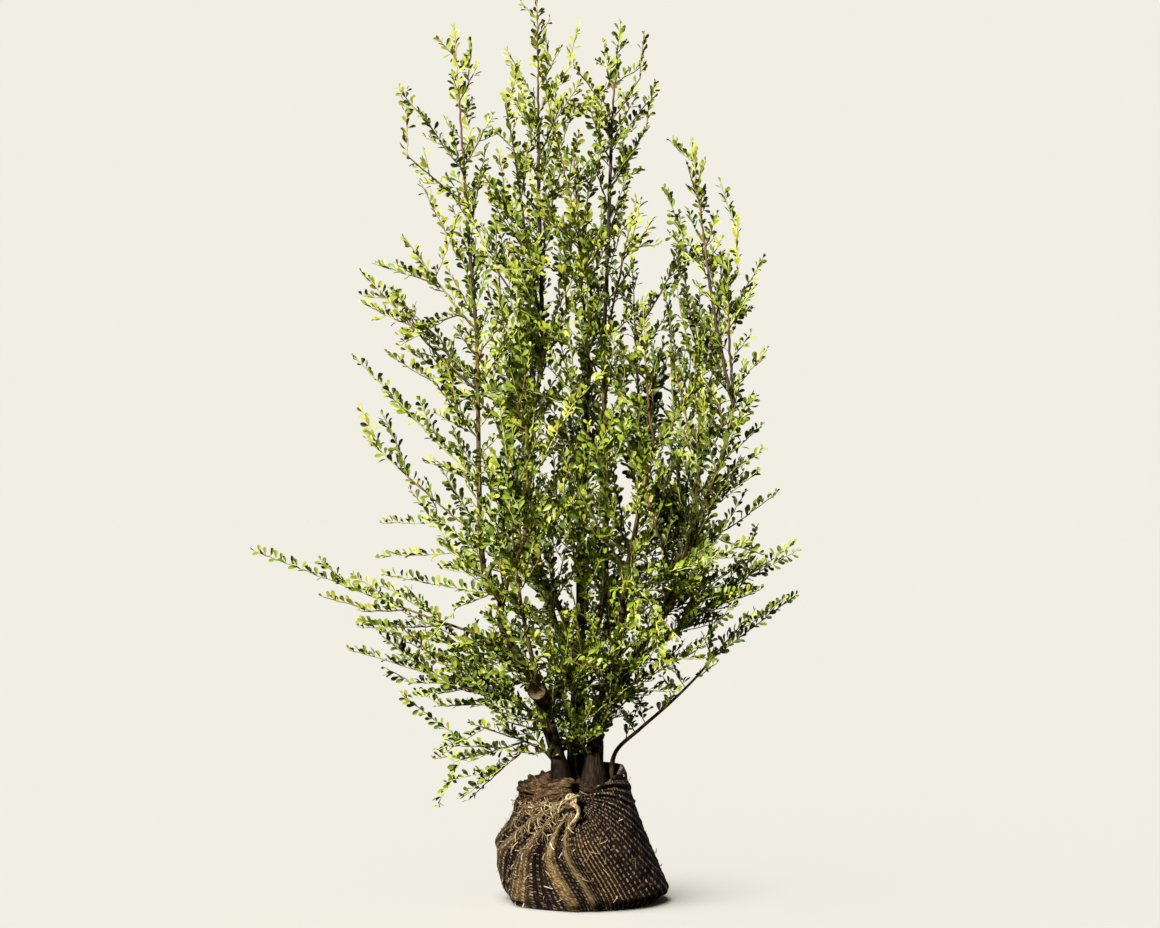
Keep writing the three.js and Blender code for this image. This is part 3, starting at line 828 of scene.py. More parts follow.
# towards its end a limb is younger, and its smooth bark is red-brown with some green in it
young_share = add_node(bark, "Attribute", {"attribute_name": "young"})
young_bark = add_node(bark, "ValToRGB", Fac=(ridges, "Fac"), stops=[
    (0.35, "4a3a24"), (0.55, "80693f"), (0.75, "a19058")])
aged_tone = add_node(bark, "Mix", {"data_type": "RGBA"}, i0=(young_share, "Fac"),
                     i6=(damp_and_shade_tone, 2), i7=(young_bark, "Color"))
link(bark, aged_tone, 2, bark_shader, "Base Color")
relief = add_node(bark, "Bump", Height=(ridges, "Fac"), Strength=0.9, Distance=0.0012)
link(bark, relief, "Normal", bark_shader, "Normal")
print(f"bark of {len(bark.node_tree.nodes)} nodes")

# %% Sawn wood finish
# the saw's cut: pale, dry wood with rings about 1.5 mm apart, darker at the heart
sawn_wood, sawn_shader = new_material("sawn dry wood", "7a5d40", 0.75)
cut_place = add_node(sawn_wood, "Attribute", {"attribute_name": "grain"})
year_rings = add_node(sawn_wood, "TexWave", {"wave_type": "RINGS", "rings_direction": "SPHERICAL"},
                      Vector=(cut_place, "Vector"), Scale=0.21, Distortion=1.6, Detail=2.0)
year_tone = add_node(sawn_wood, "ValToRGB", Fac=(year_rings, "Fac"), stops=[
    (0.0, "46331f"), (0.6, "7d6244"), (1.0, "9c805a")])
link(sawn_wood, year_tone, "Color", sawn_shader, "Base Color")
cut_relief = add_node(sawn_wood, "Bump", Height=(year_rings, "Fac"), Strength=0.4, Distance=0.0006)
link(sawn_wood, cut_relief, "Normal", sawn_shader, "Normal")
print(f"sawn wood of {len(sawn_wood.node_tree.nodes)} nodes")


# %% Attributes, and the frame along a line
def give_attribute(piece, name, kind, values):
    """Stores one value for each corner point of a piece's mesh."""
    layer = piece.data.attributes.new(name, kind, "POINT")
    layer.data.foreach_set("vector" if kind == "FLOAT_VECTOR" else "value",
                           np.asarray(values, np.float32).ravel())


# a direction that no wood runs in, so that a side across the wood can always be found
ASKEW = [0.31, -0.9, 0.2]


def frames_along(points):
    """The way ahead and two level sides at each point of a line, turning as little as can be."""
    ahead = unit(np.gradient(points, axis=0))
    side = unit(np.cross(ahead[0], ASKEW))
    sides = []
    for step in ahead:
        side = unit(side - step * (side @ step))
        sides.append(side)
    sides = np.array(sides)
    return ahead, sides, np.cross(ahead, sides)


def circle_round(side, top, count):
    """Angles round a line, and at each place on it the spoke at each angle."""
    turn = 2 * math.pi * np.arange(count) / count
    spokes = np.cos(turn)[:, None] * side[:, None] + np.sin(turn)[:, None] * top[:, None]
    return turn, spokes


def length_along(line):
    """How far along a line of points each point lies."""
    return np.append(0, np.cumsum(np.linalg.norm(np.diff(line, axis=0), axis=1)))


# %% Bark shape
BARK_SIDES = 20
# the length at a limb's end over which it thins down to the twig that it ends in
STEM_TAPER = 0.07
LIMB_TAPER = 0.34
COLLAR_START = 0.008
COLLAR_LENGTH = 0.016
FLUTE_HEIGHT = 0.03
soil_flutes = {"stem_left": 0.10, "stem_right": 0.14, "stem_back": 0.10, "stem_middle": 0.08}
bark_corners = {}
for number, name in enumerate(limbs):
    points, thick = limbs[name]
    along = length_along(points)
    natural = radius[limb_start[name]:limb_start[name] + len(points)]
    young = np.zeros(len(points))
    # the left stem ends at the sawn stub, and so at its full thickness
    if name != "stem_left":
        taper = STEM_TAPER if name.startswith("stem") else LIMB_TAPER
        young = np.clip((along - along[-1] + taper) / taper, 0, 1)
        thick = thick * (1 - young) + np.minimum(thick, natural) * young
    ahead, side, top = frames_along(points)
    turn, spokes = circle_round(side, top, BARK_SIDES)
    girth = np.repeat(thick[:, None], BARK_SIDES, axis=1)
    # swollen collars where side limbs leave
    for child, (mother, at) in parents.items():
        if mother == name:
            leaves_to = unit(limbs[child][0][6] - limbs[child][0][0])
            towards = np.clip(spokes @ leaves_to, 0, 1)
            near = np.exp(-((along - along[at] - COLLAR_START) / COLLAR_LENGTH) ** 2)[:, None]
            girth += 0.45 * limbs[child][1][2] * near * towards
    if name in parents:
        girth *= 1 + 0.30 * np.exp(-along / 0.012)[:, None]
    # flutes that die away above the soil
    flute = soil_flutes.get(name, 0) * np.exp(-along / FLUTE_HEIGHT)[:, None]
    girth *= 1 + flute * np.cos(5 * turn + number)[None]
    straight = np.stack([np.cos(turn)[None] * thick[:, None], np.sin(turn)[None] * thick[:, None],
                         np.repeat(along[:, None], BARK_SIDES, axis=1)], axis=2)
    flat = straight.reshape(-1, 3)
    lumps = waves(flat * [1, 1, 0.22], 0.009, 40 + number).reshape(girth.shape)
    swells = waves(flat * [0.6, 0.6, 0.6], 0.06, 70 + number).reshape(girth.shape)
    girth *= 1 + 0.045 * lumps + 0.05 * swells
    corners = points[:, None] + spokes * girth[:, :, None]
    limbs[name] = (points, thick)
    bark_corners[name] = (corners, straight, young, ahead)
print(f"{sum(len(corners) for corners, *_ in bark_corners.values())} rings of bark")

# %% Make the limbs
for number, name in enumerate(limbs):
    corners, straight, young, ahead = bark_corners[name]
    points, thick = limbs[name]
    end = points[-1] + ahead[-1] * thick[-1] * 0.5
    closed = np.vstack([corners.reshape(-1, 3), end])
    faces = grid_faces(len(points), BARK_SIDES) + end_cap(len(points), BARK_SIDES, len(closed) - 1)
    limb = make_piece(f"bark_{name}", closed, faces, [bark])
    # in millimetres, pressed together lengthwise so that the noise is drawn out along the grain
    flat = straight.reshape(-1, 3) * 1000 * [1, 1, 0.16]
    flat = np.vstack([flat, flat[-1]])
    give_attribute(limb, "grain", "FLOAT_VECTOR", flat + 37.0 * number)
    # darker towards the soil: damp soil stain, and painted shade from the crown above
    above_soil = closed[:, 2] - soil_top
    give_attribute(limb, "damp", "FLOAT", np.clip(1 - above_soil / 0.22, 0, 1) ** 0.7)
    give_attribute(limb, "young", "FLOAT", np.append(np.repeat(young, BARK_SIDES), young[-1]))
    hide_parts(name)
print(f"{len(limbs)} limbs in bark")

# %% [markdown]
# ## The sawn stub
# One old branch of the left stem was sawn off short, towards the front. The cut is a disc of pale
# wood inside a lip of bark, with a shallow dish where the wood has dried faster than its bark.
# A cylinder cut by a plane would have a sharp edge all round. Here the log's rings simply go on
# over the lip and inwards, each one smaller than the last, so the edge is as soft as bark is.

# %% Sawn stub
STUB_WAY = unit(np.array([-0.16, -0.92, 0.30]))
STUB_LENGTH = 0.044
STUB_RINGS = 12
STUB_FOOT = limbs["stem_left"][0][-4]
stub_line = STUB_FOOT + STUB_WAY * np.linspace(0, STUB_LENGTH, STUB_RINGS)[:, None]
stub_thick = 0.0140 + 0.0014 * np.linspace(0, 1, STUB_RINGS) ** 3
_, side, top = frames_along(stub_line)
turn, spokes = circle_round(side, top, BARK_SIDES)
stub_log = stub_line[:, None] + spokes * stub_thick[:, None, None]
knobs = waves(stub_log.reshape(-1, 3), 0.011, 91).reshape(STUB_RINGS, -1)[:, :, None]
stub_log += spokes * 0.0009 * knobs
rim_ring = stub_log[-1]
stub_middle = rim_ring.mean(axis=0)
# the lip of bark, the step down to the wood, and the dished face
rings_in = [(1.04, 0.0010), (0.99, 0.0020), (0.93, 0.0018), (0.88, 0.0002), (0.7, -0.0002),
            (0.5, -0.0007), (0.3, -0.0010), (0.12, -0.0015)]
stub_points = np.vstack([stub_log.reshape(-1, 3)] + [
    stub_middle + (rim_ring - stub_middle) * share + STUB_WAY * rise for share, rise in rings_in])
stub_points = np.vstack([stub_points, stub_middle - STUB_WAY * 0.0020])
stub_rows = STUB_RINGS + len(rings_in)
stub_faces = grid_faces(stub_rows, BARK_SIDES)
stub_faces += end_cap(stub_rows, BARK_SIDES, len(stub_points) - 1)
# the bark runs over the lip to the third ring of the face
bark_faces = (STUB_RINGS + 2) * BARK_SIDES
stub_wear = [0] * bark_faces + [1] * (len(stub_faces) - bark_faces)
stub = make_piece("sawn_stub", stub_points, stub_faces, [bark, sawn_wood], stub_wear)
give_attribute(stub, "grain", "FLOAT_VECTOR", (stub_points - stub_middle) * 1000)
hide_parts("stem_left")
print(f"sawn face {2000 * np.linalg.norm(rim_ring - stub_middle, axis=1).max():.0f} mm across")

# %% [markdown]
# ## Twigs
# Most twigs are thinner than 3 mm, so three or four sides are enough. A bevelled curve for each
# would make thousands of objects, so the twigs of one mass are tubes in one mesh. Twigs of this
# year's growth are green, turn red-brown where the sun reaches them, and get brown bark in their
# second year. Each stretch of twig gets one plain tone by its thickness, with some chance in it.

# %% Twig finishes
# a green shoot has a smooth, slightly shiny skin, and older bark is duller
twig_tones = [new_material(name, colour, roughness)[0] for name, colour, roughness in (
    ("green shoot", "b4b85f", 0.45), ("reddening shoot", "8f7440", 0.5),
    ("second-year twig bark", "6b4f35", 0.7), ("old dark twig bark", "42332a", 0.8))]
print(f"{len(twig_tones)} tones of twig")


# %% Twig meshes
def tube(points, radii, sides):
    """Points and quads of a tube along a line of points, without twist."""
    ahead = unit(np.gradient(points, axis=0))
    side = unit(np.cross(ahead, ASKEW))
    _, ring = circle_round(side, np.cross(ahead, side), sides)
    corners = points[:, None] + ring * radii[:, None, None]
    return corners.reshape(-1, 3), grid_faces(len(points), sides)


# %% Make the twigs
TONE_RADII = (0.0015, 0.0018, 0.0024)
FOUR_SIDED_FROM = 0.0012
for name in mass_names:
    corners, faces, worn = [], [], []
    total = 0
    for numbers in shoots:
        if mass_of[numbers[0]] != masses[name]["number"]:
            continue
        line = np.append(parent[numbers[0]], numbers)
        thick = np.append(radius[numbers[0]], radius[numbers])
        sides = 4 if thick[0] > FOUR_SIDED_FROM else 3
        ring_corners, ring_faces = tube(place[line], thick, sides)
        corners.append(ring_corners)
        faces += [tuple(total + corner for corner in face) for face in ring_faces]
        age = thick * math.exp(dice.normal(0, 0.22))
        tones = np.searchsorted(TONE_RADII, age)
        worn += [int(tones[row]) for row in range(len(line) - 1) for _ in range(sides)]
        total += len(ring_corners)
    twigs = make_piece(name.replace("mass", "twigs"), np.vstack(corners), faces,
                       twig_tones, worn)
    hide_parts(name)
twig_quads = sum(len(piece.data.polygons) for piece in bpy.data.objects
                 if piece.name.startswith("twigs_"))
print(f"{2 * twig_quads} triangles of twigs")

# %% [markdown]
# ## Leaves
# The leaf is a small oval, 14 to 20 mm long when full-grown, leathery and slightly shiny, folded
# a little along its midrib and curled back at the tip. A leaf painted on a square would need a
# cut-out, and looks flat from the side. Here fourteen triangles give each leaf its own outline,
# fold and curl. The leaves stand in pairs, one on each side of a bud. On a shoot that leans, the
# pairs lift towards its upper side, and everywhere they turn their faces up and to the light.
# Real leaves vary with age, so each one is dealt one of seven plain greens, lighter near the end of
# a shoot. The greens also carry painted light and shade: lighter on the side the key light reaches,
# and darker deep in the crown and low in the thicket.

# %% Leaf colours
# a leathery leaf has a thin coat of wax: it shines a little, but mirrors nothing
LEAF_GREENS = {"young": "a1a43f", "fresh": "94a033", "spring": "80932a", "leaf": "687c24",
               "deep": "4b591b", "shade": "333b14", "old": "23270e"}
leaf_materials = [new_material(f"waxy {word} leaf", colour, 0.42)[0]
                  for word, colour in LEAF_GREENS.items()]
print(f"{len(leaf_materials)} greens")

# %% One leaf
# its corners: how far along the leaf, and how far across it, as shares of length and width
LEAF_LENGTH = 0.0186
LEAF_WIDTH = 0.46
FOLD = 0.40
CURL = 0.14
outline = np.array([(0, 0), (0.18, -0.10), (0.18, 0.10),
                    (0.45, -0.36), (0.45, 0), (0.45, 0.36),
                    (0.72, -0.50), (0.72, 0), (0.72, 0.50),
                    (0.92, -0.34), (0.92, 0), (0.92, 0.34), (1.0, 0)])
leaf_faces = np.array([(0, 1, 2), (1, 3, 4), (1, 4, 2), (2, 4, 5),
                       (3, 6, 7), (3, 7, 4), (4, 7, 8), (4, 8, 5),
                       (6, 9, 10), (6, 10, 7), (7, 10, 11), (7, 11, 8),
                       (9, 12, 10), (10, 12, 11)])
leaf_along = outline[:, 0]
leaf_across = outline[:, 1] * LEAF_WIDTH
leaf_rise = FOLD * abs(leaf_across) - CURL * leaf_along ** 2
LEAF_CORNERS, LEAF_TRIANGLES = len(outline), len(leaf_faces)
print(f"a leaf of {LEAF_TRIANGLES} triangles")

# %% Where the leaves sit
# wood thicker than this has shed its leaves
LEAFY_RADIUS = 0.00175
buds, from_tip = [], []
for numbers in shoots:
    back = np.arange(len(numbers))[::-1]
    keep = radius[numbers] < LEAFY_RADIUS
    buds.append(numbers[keep])
    from_tip.append(back[keep])
buds = np.repeat(np.concatenate(buds), 2)
from_tip = np.repeat(np.concatenate(from_tip), 2)
# no leaf hangs in front of the sawn face, which was cut to let light in. Its middle lies this
# far from the foot of the stub
CUT_FROM_FOOT = [-0.007, -0.041, 0.014]
CUT_CLEAR = 0.019
beside_cut = place[buds] - (STUB_FOOT + CUT_FROM_FOOT)
behind_cut = beside_cut[:, 1] >= 0
clear = behind_cut | (np.hypot(beside_cut[:, 0], beside_cut[:, 2]) > CUT_CLEAR)
buds, from_tip = buds[clear], from_tip[clear]
count = len(buds)
hand = np.where(np.arange(count) % 2, 1.0, -1.0)
print(f"{count} leaves, {LEAF_TRIANGLES * count} triangles")

# %% Which way they face
SUN_FROM = unit(np.array([-0.5, -0.6, 0.62]))
middle = place[buds]
t = way[buds]
outward = unit(middle * [1, 1, 0] + 1e-6)
shoot_turn = dice.normal(scale=0.45, size=(len(shoots), 3))[shoot_of[buds]]
facing = 0.45 * outward + 0.85 * UP + 0.45 * SUN_FROM + shoot_turn
facing = unit(facing - t * (facing * t).sum(axis=1)[:, None])
side = np.cross(t, facing)
pair_roll = np.repeat(dice.normal(scale=50, size=count // 2), 2)
roll = np.radians(pair_roll + dice.normal(scale=22, size=count))
across = np.cos(roll)[:, None] * side * hand[:, None] + np.sin(roll)[:, None] * facing
leaning = np.sqrt(1 - t[:, 2] ** 2)
lift = 0.20 + 1.0 * leaning + dice.normal(scale=0.2, size=count)
across = unit(across + lift[:, None] * facing)
# the angle between leaf and shoot is narrower at the shoot's end, where leaves are still opening
opening = 40 + 20 * leaning + dice.normal(scale=15, size=count) - 16 * np.exp(-from_tip / 1.5)
spread = np.radians(opening)
axis = unit(np.cos(spread)[:, None] * t + np.sin(spread)[:, None] * across)
face = facing - 0.5 * across + dice.normal(scale=0.42, size=(count, 3))
face = unit(face - axis * (face * axis).sum(axis=1)[:, None])
width = np.cross(face, axis)
# the last leaves of a shoot aren't full-grown, and those of the thicket stay small
length = LEAF_LENGTH * dice.uniform(0.74, 1.10, count) * (1 - 0.40 * np.exp(-from_tip / 1.2))
length *= np.where(mass_of[buds] == thicket, 0.80, 1)
print(f"leaves up to {1000 * length.max():.0f} mm long, {1000 * np.median(length):.0f} mm for most")

# %% Deal out the greens
# the age picks the green, from 0 for the youngest to 6. Painted light and shade are added to it:
# lighter on the side towards the key light, darker deep in the crown and low down in the thicket.
# It is also a little lighter higher up
height = (middle[:, 2] - crown_low[2]) / (crown_high[2] - crown_low[2])
painted_sunlit_side = (middle - middle.mean(axis=0)) @ SUN_FROM
shoot_mood = dice.normal(scale=0.90, size=len(shoots))[shoot_of[buds]]
leaf_mood = dice.normal(scale=0.75, size=count)
# painted light and shade: lighter greens towards the key light, darker greens deep in the crown
age = 2.05 - 2.2 * painted_sunlit_side - 0.25 * height + shoot_mood + leaf_mood + 44 * depth_at(middle)
age -= 1.3 * np.exp(-from_tip / 2.0)
# painted shade: darker greens low in the thicket round the stems
low_painted_shade = np.clip((FOOT_HIGH - middle[:, 2]) / 0.10, 0, 1)
age += 0.7 * low_painted_shade * (np.hypot(middle[:, 0], middle[:, 1]) < 0.14)
green = np.clip(np.round(age), 0, 6).astype(int)
print("leaves of each green:", np.bincount(green, minlength=7).tolist())

# %% Leaf meshes
corners = (middle[:, None] + length[:, None, None] * (
    leaf_along[:, None] * axis[:, None] + leaf_across[:, None] * width[:, None]
    + leaf_rise[:, None] * face[:, None]))
for name in mass_names:
    mine = np.flatnonzero(mass_of[buds] == masses[name]["number"])
    points = corners[mine].reshape(-1, 3)
    first_corners = LEAF_CORNERS * np.arange(len(mine))[:, None, None]
    faces = (leaf_faces[None] + first_corners).reshape(-1, 3)
    leaves = make_piece(name.replace("mass", "leaves"), points, faces.tolist(), leaf_materials,
                        np.repeat(green[mine], LEAF_TRIANGLES))
    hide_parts(name)
print(f"{len(mass_names)} pieces of leaves")

# %% [markdown]
# ## The root ball
# The roots sit in a ball of soil, wrapped in a square of coarse jute. Its corners are gathered
# and knotted at the front of the neck, so the cloth falls in folds from the knot. Cloth
# simulation would need the ball, the cloth and a hand to pull the knot tight. It is simpler and
# surer to say where the threads run: they fan out from the knot, bend down as they go, and fall
# to the ground. That one map gives the folds, which follow the threads, and the weave.

# %% The plain bag's outside
KNOT_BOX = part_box("wrap_knot")
knot_place = np.array([(KNOT_BOX[0].x + KNOT_BOX[1].x) / 2, KNOT_BOX[0].y, KNOT_BOX[1].z - 0.007])
KNOT_TURN = math.atan2(knot_place[1], knot_place[0])
KNOT_HEIGHT = knot_place[2]
COLUMNS = 400
ROWS = 132
bag_places, bag_triangles = joined("jute_wrap")
bag_tree = BVHTree.FromPolygons(bag_places.tolist(), bag_triangles.tolist())


def outside(turn, height):
    """How far the plain bag reaches from the upright axis, or None above its rim."""
    direction = Vector((math.cos(turn), math.sin(turn), 0))
    origin = direction * 0.4 + Vector((0, 0, height))
    spot = bag_tree.ray_cast(origin, -direction, 0.4)[0]
    if spot is None or spot.dot(direction) < 0:
        return None
    return spot.dot(direction)


def rim_height(turn):
    """The height of the plain bag's rim at an angle, found by halving."""
    low, high = 0.15, 0.30
    for _ in range(14):
        middle = (low + high) / 2
        low, high = (middle, high) if outside(turn, middle) else (low, middle)
    return low


def round_off(values, reach, axis, around):
    """Averages each value with those beside it, with falling weight."""
    total = np.zeros_like(values)
    weight = 0
    for step in range(-3 * reach, 3 * reach + 1):
        share = math.exp(-0.5 * (step / reach) ** 2)
        if around:
            shifted = np.roll(values, step, axis=axis)
        else:
            spots = np.clip(np.arange(values.shape[axis]) + step, 0, values.shape[axis] - 1)
            shifted = np.take(values, spots, axis=axis)
        total += share * shifted
        weight += share
    return total / weight


# %% Measure the plain bag
# every fourth column is measured, and the columns between are filled in
APART = 4
turns = KNOT_TURN + math.pi + 2 * math.pi * np.arange(COLUMNS) / COLUMNS
measured = np.arange(0, COLUMNS + 1, APART)
rims = np.array([rim_height(turn) for turn in turns[::APART]])
rims = round_off(rims, 2, 0, True)
rims = np.interp(np.arange(COLUMNS), measured, np.append(rims, rims[0]))
shares = np.linspace(0, 1, ROWS)
plain = np.zeros((ROWS, len(measured)))
for spot, column in enumerate(measured[:-1]):
    for row, share in enumerate(shares):
        height = 0.001 + (rims[column] - 0.004) * share
        reach = outside(turns[column], height)
        plain[row, spot] = reach if reach else plain[row - 1, spot]
plain[:, -1] = plain[:, 0]
plain = np.array([np.interp(np.arange(COLUMNS), measured, row) for row in plain])
plain = round_off(round_off(plain, 9, 1, True), 3, 0, False)
print(f"rim from {1000 * rims.min():.0f} to {1000 * rims.max():.0f} mm high")

# %% [markdown]
# Each place on the bag is laid out flat: millimetres to the right of the knot, and millimetres
# below it. The angle round the knot then says which thread runs there, bent back by how far it
# has fallen, and the distance from the knot says how far along its thread the place is. Behind
# the ball the threads simply run upright.

# %% Where the threads run
MEAN_REACH = 0.118
ROW_ANGLE = 5.2
ROW_WIDTH = 10.5
SPECK_STEP = 5.0
offset = (turns[None] - KNOT_TURN - 2 * math.pi) % (2 * math.pi)
offset = np.where(offset > math.pi, offset - 2 * math.pi, offset) * np.ones((ROWS, 1))
heights = (rims - 0.001)[None] * shares[:, None] + 0.001
across = 1000 * offset * MEAN_REACH
below = 1000 * (KNOT_HEIGHT - heights)
# the cloth was twisted as it was tied: once past the belly, its lines drift to the right
fallen = 14 * np.log1p(np.exp((below - 88) / 14))
drift_right = 0.12 + 0.62 * np.exp(-((offset - 0.05) / 0.75) ** 2)
shifted = across - fallen * drift_right
away = np.hypot(shifted, below)
fan = np.degrees(np.arctan2(shifted, below))
bend = 0.42 * (1 - np.exp(-(away / 120) ** 2))
fan = fan / (1 - bend * np.clip(1 - abs(fan) / 150, 0, 1))
behind = np.clip((abs(np.degrees(offset)) - 105) / 45, 0, 1)
behind = behind ** 2 * (3 - 2 * behind)
thread = (1 - behind) * fan / ROW_ANGLE + behind * across / ROW_WIDTH
run = ((1 - behind) * away + behind * below) / SPECK_STEP
print(f"threads from {thread.min():.0f} to {thread.max():.0f}")

# %% [markdown]
# ## Folds
# The cloth hangs from the knot in ridges and furrows, big and slack on the left, where much of
# it was pulled together, and fine and tight on the right. Each big one is a line in a table.
# Gathers near the knot, one small rib for each thread, slow billows and a light crumple are
# added to them. A sculpted bag could follow each fold more closely, but this one can be changed
# by a number.

# %% Folds
def ridge(middle, half, strength):
    """A fold that follows the threads: its thread number, half width in threads and height."""
    return strength * np.exp(-((thread - middle) / half) ** 2)


depth_down = np.clip(below / 170, 0, 1)
near_knot = np.exp(-(away / 26) ** 2)
swell = np.clip(away / 60, 0, 1) * (1 - 0.45 * depth_down)
# each fold: thread number, half width in threads, height in mm, and how much gold, partly painted
# highlight, shows on it
left_folds = [(-2.2, 0.75, 6.5, 1.0), (-5.6, 1.0, 7.5, 1.0), (-9.8, 1.2, 7.0, 0.45),
              (-13.4, 0.9, 7.0, 0.3), (-16.4, 0.9, 5.5, 0.3), (-19.4, 1.0, 5.0, 0.25)]
# each furrow: thread number, half width in threads, and depth in mm
valleys = [(-3.8, 0.6, 5.0), (-7.7, 0.8, 9.0), (-11.6, 0.6, 6.0), (-14.9, 0.5, 5.0),
           (0.2, 0.8, 3.0)]
folds = np.zeros_like(thread)
crest = np.zeros_like(thread)
for middle, half, strength, gold_and_highlight in left_folds:
    folds += ridge(middle, half, strength)
    crest += ridge(middle, half * 0.8, gold_and_highlight)
# the furrow marks darken the creases: soil, and painted shade
furrow = np.zeros_like(thread)
for middle, half, strength in valleys:
    folds -= ridge(middle, half, strength)
    furrow += ridge(middle, half, min(strength / 6, 1))
print(f"{len(left_folds)} folds and {len(valleys)} furrows")

# %% Gathers, ribs, billows and crumple
ribs = 0.9 * np.cos(thread * 2 * math.pi / 1.0) * np.clip((thread + 2) / 3, 0, 1)
gathers = 3.4 * np.sin(thread * 2 * math.pi / 1.9 + 0.6) * np.exp(-(away / 105) ** 2)
gathers *= np.clip((thread - 5) / 5, 0, 1)
flat_spots = np.stack([across, below, 0 * across], axis=2).reshape(-1, 3)
billows = 2.4 * waves(flat_spots, 95, 5).reshape(across.shape)
crumple = 1.1 * waves(flat_spots, 22, 6).reshape(across.shape)
front_only = 1 - behind
proud = (1.35 * folds * swell * front_only + ribs * 0.8 + gathers * front_only
         + billows * (0.4 + 0.6 * shares[:, None]) + crumple)
# the bag stands flat on the ground, and is pulled in at the knot
proud *= np.clip(shares[:, None] / 0.06, 0.15, 1)
proud -= 5.0 * near_knot
print(f"folds from {proud.min():.1f} to {proud.max():.1f} mm")

# %% [markdown]
# ## The cloth's mesh
# The bag is one mesh: rows round the ball from the ground to the rim, a rolled rim, rows that
# run down inside to the soil, and a flat base. Each place also keeps the number of its thread
# and how far along that thread it lies, as the map that the weave is drawn by.

# %% Rows of the cloth
ROLL = 0.0032
reach = plain + proud / 1000
left_roll = np.exp(-((np.degrees(turns) % 360 - 190) / 34) ** 2)
rows = []
for row in range(ROWS):
    rows.append(np.stack([reach[row] * np.cos(turns), reach[row] * np.sin(turns), heights[row]],
                         axis=1))
outer_rim = rows[-1]
inward = -np.stack([np.cos(turns), np.sin(turns), 0 * turns], axis=1)
roll = (ROLL + 0.0035 * left_roll)[:, None]
for step in (0.2, 0.4, 0.6, 0.8, 1.0):
    bow = math.pi * step
    rows.append(outer_rim + inward * roll * (1 - math.cos(bow)) + UP * roll * math.sin(bow))
inner_rim = rows[-1]
drop = np.maximum(inner_rim[:, 2] - (soil_top - 0.006), 0.006)[:, None]
for share in (0.15, 0.35, 0.6, 0.85, 1.0):
    ripple = 0.0012 * np.sin(thread[-1] * 2.0 + 6 * share)[:, None]
    rows.append(inner_rim - UP * drop * share - inward * (0.004 * share) + inward * ripple)
all_rows = len(rows)
cloth_points = np.vstack([*rows, [0, 0, 0.0015]])
base = len(cloth_points) - 1
cloth_faces = grid_faces(all_rows, COLUMNS)
cloth_faces += [((column + 1) % COLUMNS, column, base) for column in range(COLUMNS)]
print(f"{len(cloth_faces)} faces of jute")

# %% The map of the threads
# left of the knot the cloth is gathered more, so its rows of yarn lie closer together
GATHERED = 0.8
GATHERED_TO = 20
row_of = thread - GATHERED * np.clip(-thread, 0, GATHERED_TO)
step_of = run * (1 + 0.35 * np.clip(-thread / 3, 0, 1))
lines = np.zeros((all_rows, COLUMNS, 2))
lines[:ROWS, :, 0] = row_of
lines[:ROWS, :, 1] = step_of
for row in range(ROWS, all_rows):
    lines[row, :, 0] = row_of[-1]
    lines[row, :, 1] = step_of[-1] - 0.35 * (row - ROWS + 1)
# at the back the thread numbers jump from the highest to the lowest, and the faces that cross
# the seam are mapped as if they went on
seam_jump = 2 * math.pi * 1000 * MEAN_REACH / ROW_WIDTH + GATHERED * GATHERED_TO
corner_map = []
flat_lines = lines.reshape(-1, 2)
for face in cloth_faces:
    spots = np.array([flat_lines[min(corner, len(flat_lines) - 1)] for corner in face])
    if len(face) == 4 and np.ptp(spots[:, 0]) > seam_jump / 2:
        spots[spots[:, 0] < 0, 0] += seam_jump
    corner_map.append(spots)
corner_map = np.vstack(corner_map)
print(f"a seam of {seam_jump:.0f} threads")

# %% [markdown]
# ## Jute
# Jute yarn is thick and hairy, about 2 mm, and loosely woven. Wet soil has stained it dark brown.
# The crests of the folds on the sunny side keep the yarn's own gold, brightened as a painted
# highlight, and the furrows carry soil and painted shade. A paler thread
# shows through as a row of specks every 10 mm or so. The weave is drawn at 3.5 mm, coarser than
# life, because at its real size it would be too fine to show. A flat tile of sacking would repeat
# and wouldn't follow the folds, so the weave is made of waves and bricks on the thread map.

# %% Jute: rows of specks
# dull, dry and hairy: the loose fibres scatter the light, so there is almost no shine
jute, jute_shader = new_material("stained woven jute", "3a2b20", 0.92)
jute_shader.inputs["Specular IOR Level"].default_value = 0.12
cloth_map = add_node(jute, "UVMap", {"uv_map": "cloth_lines"})
parts = add_node(jute, "SeparateXYZ", Vector=(cloth_map, "UV"))
# along the thread first, then across: each brick of the texture is one speck
row_number = add_node(jute, "Math", {"operation": "FLOOR"}, i0=(parts, "X"))
row_start = add_node(jute, "TexWhiteNoise", {"noise_dimensions": "1D"}, W=(row_number, "Value"))
started = add_node(jute, "Math", {"operation": "MULTIPLY_ADD"}, i0=(row_start, "Value"), i1=3.0,
                   i2=(parts, "Y"))
swapped = add_node(jute, "CombineXYZ", X=(started, "Value"), Y=(parts, "X"))
wobble = add_node(jute, "TexNoise", Vector=(swapped, "Vector"), Scale=1.4, Detail=3.0)
wobbled = add_node(jute, "VectorMath", {"operation": "MULTIPLY_ADD"}, i0=(wobble, "Color"),
                   i1=(0.9, 0.30, 0.0), i2=(swapped, "Vector"))
specks = add_node(jute, "TexBrick", {"offset": 0.5}, Vector=(wobbled, "Vector"), Scale=1.0,
                  Mortar_Size=0.35, Mortar_Smooth=0.25, Brick_Width=1.7, Row_Height=1.0,
                  Color1=(1, 1, 1, 1), Color2=(0.55, 0.55, 0.55, 1), Mortar=(0, 0, 0, 1))
print(f"{len(jute.node_tree.nodes)} nodes so far")

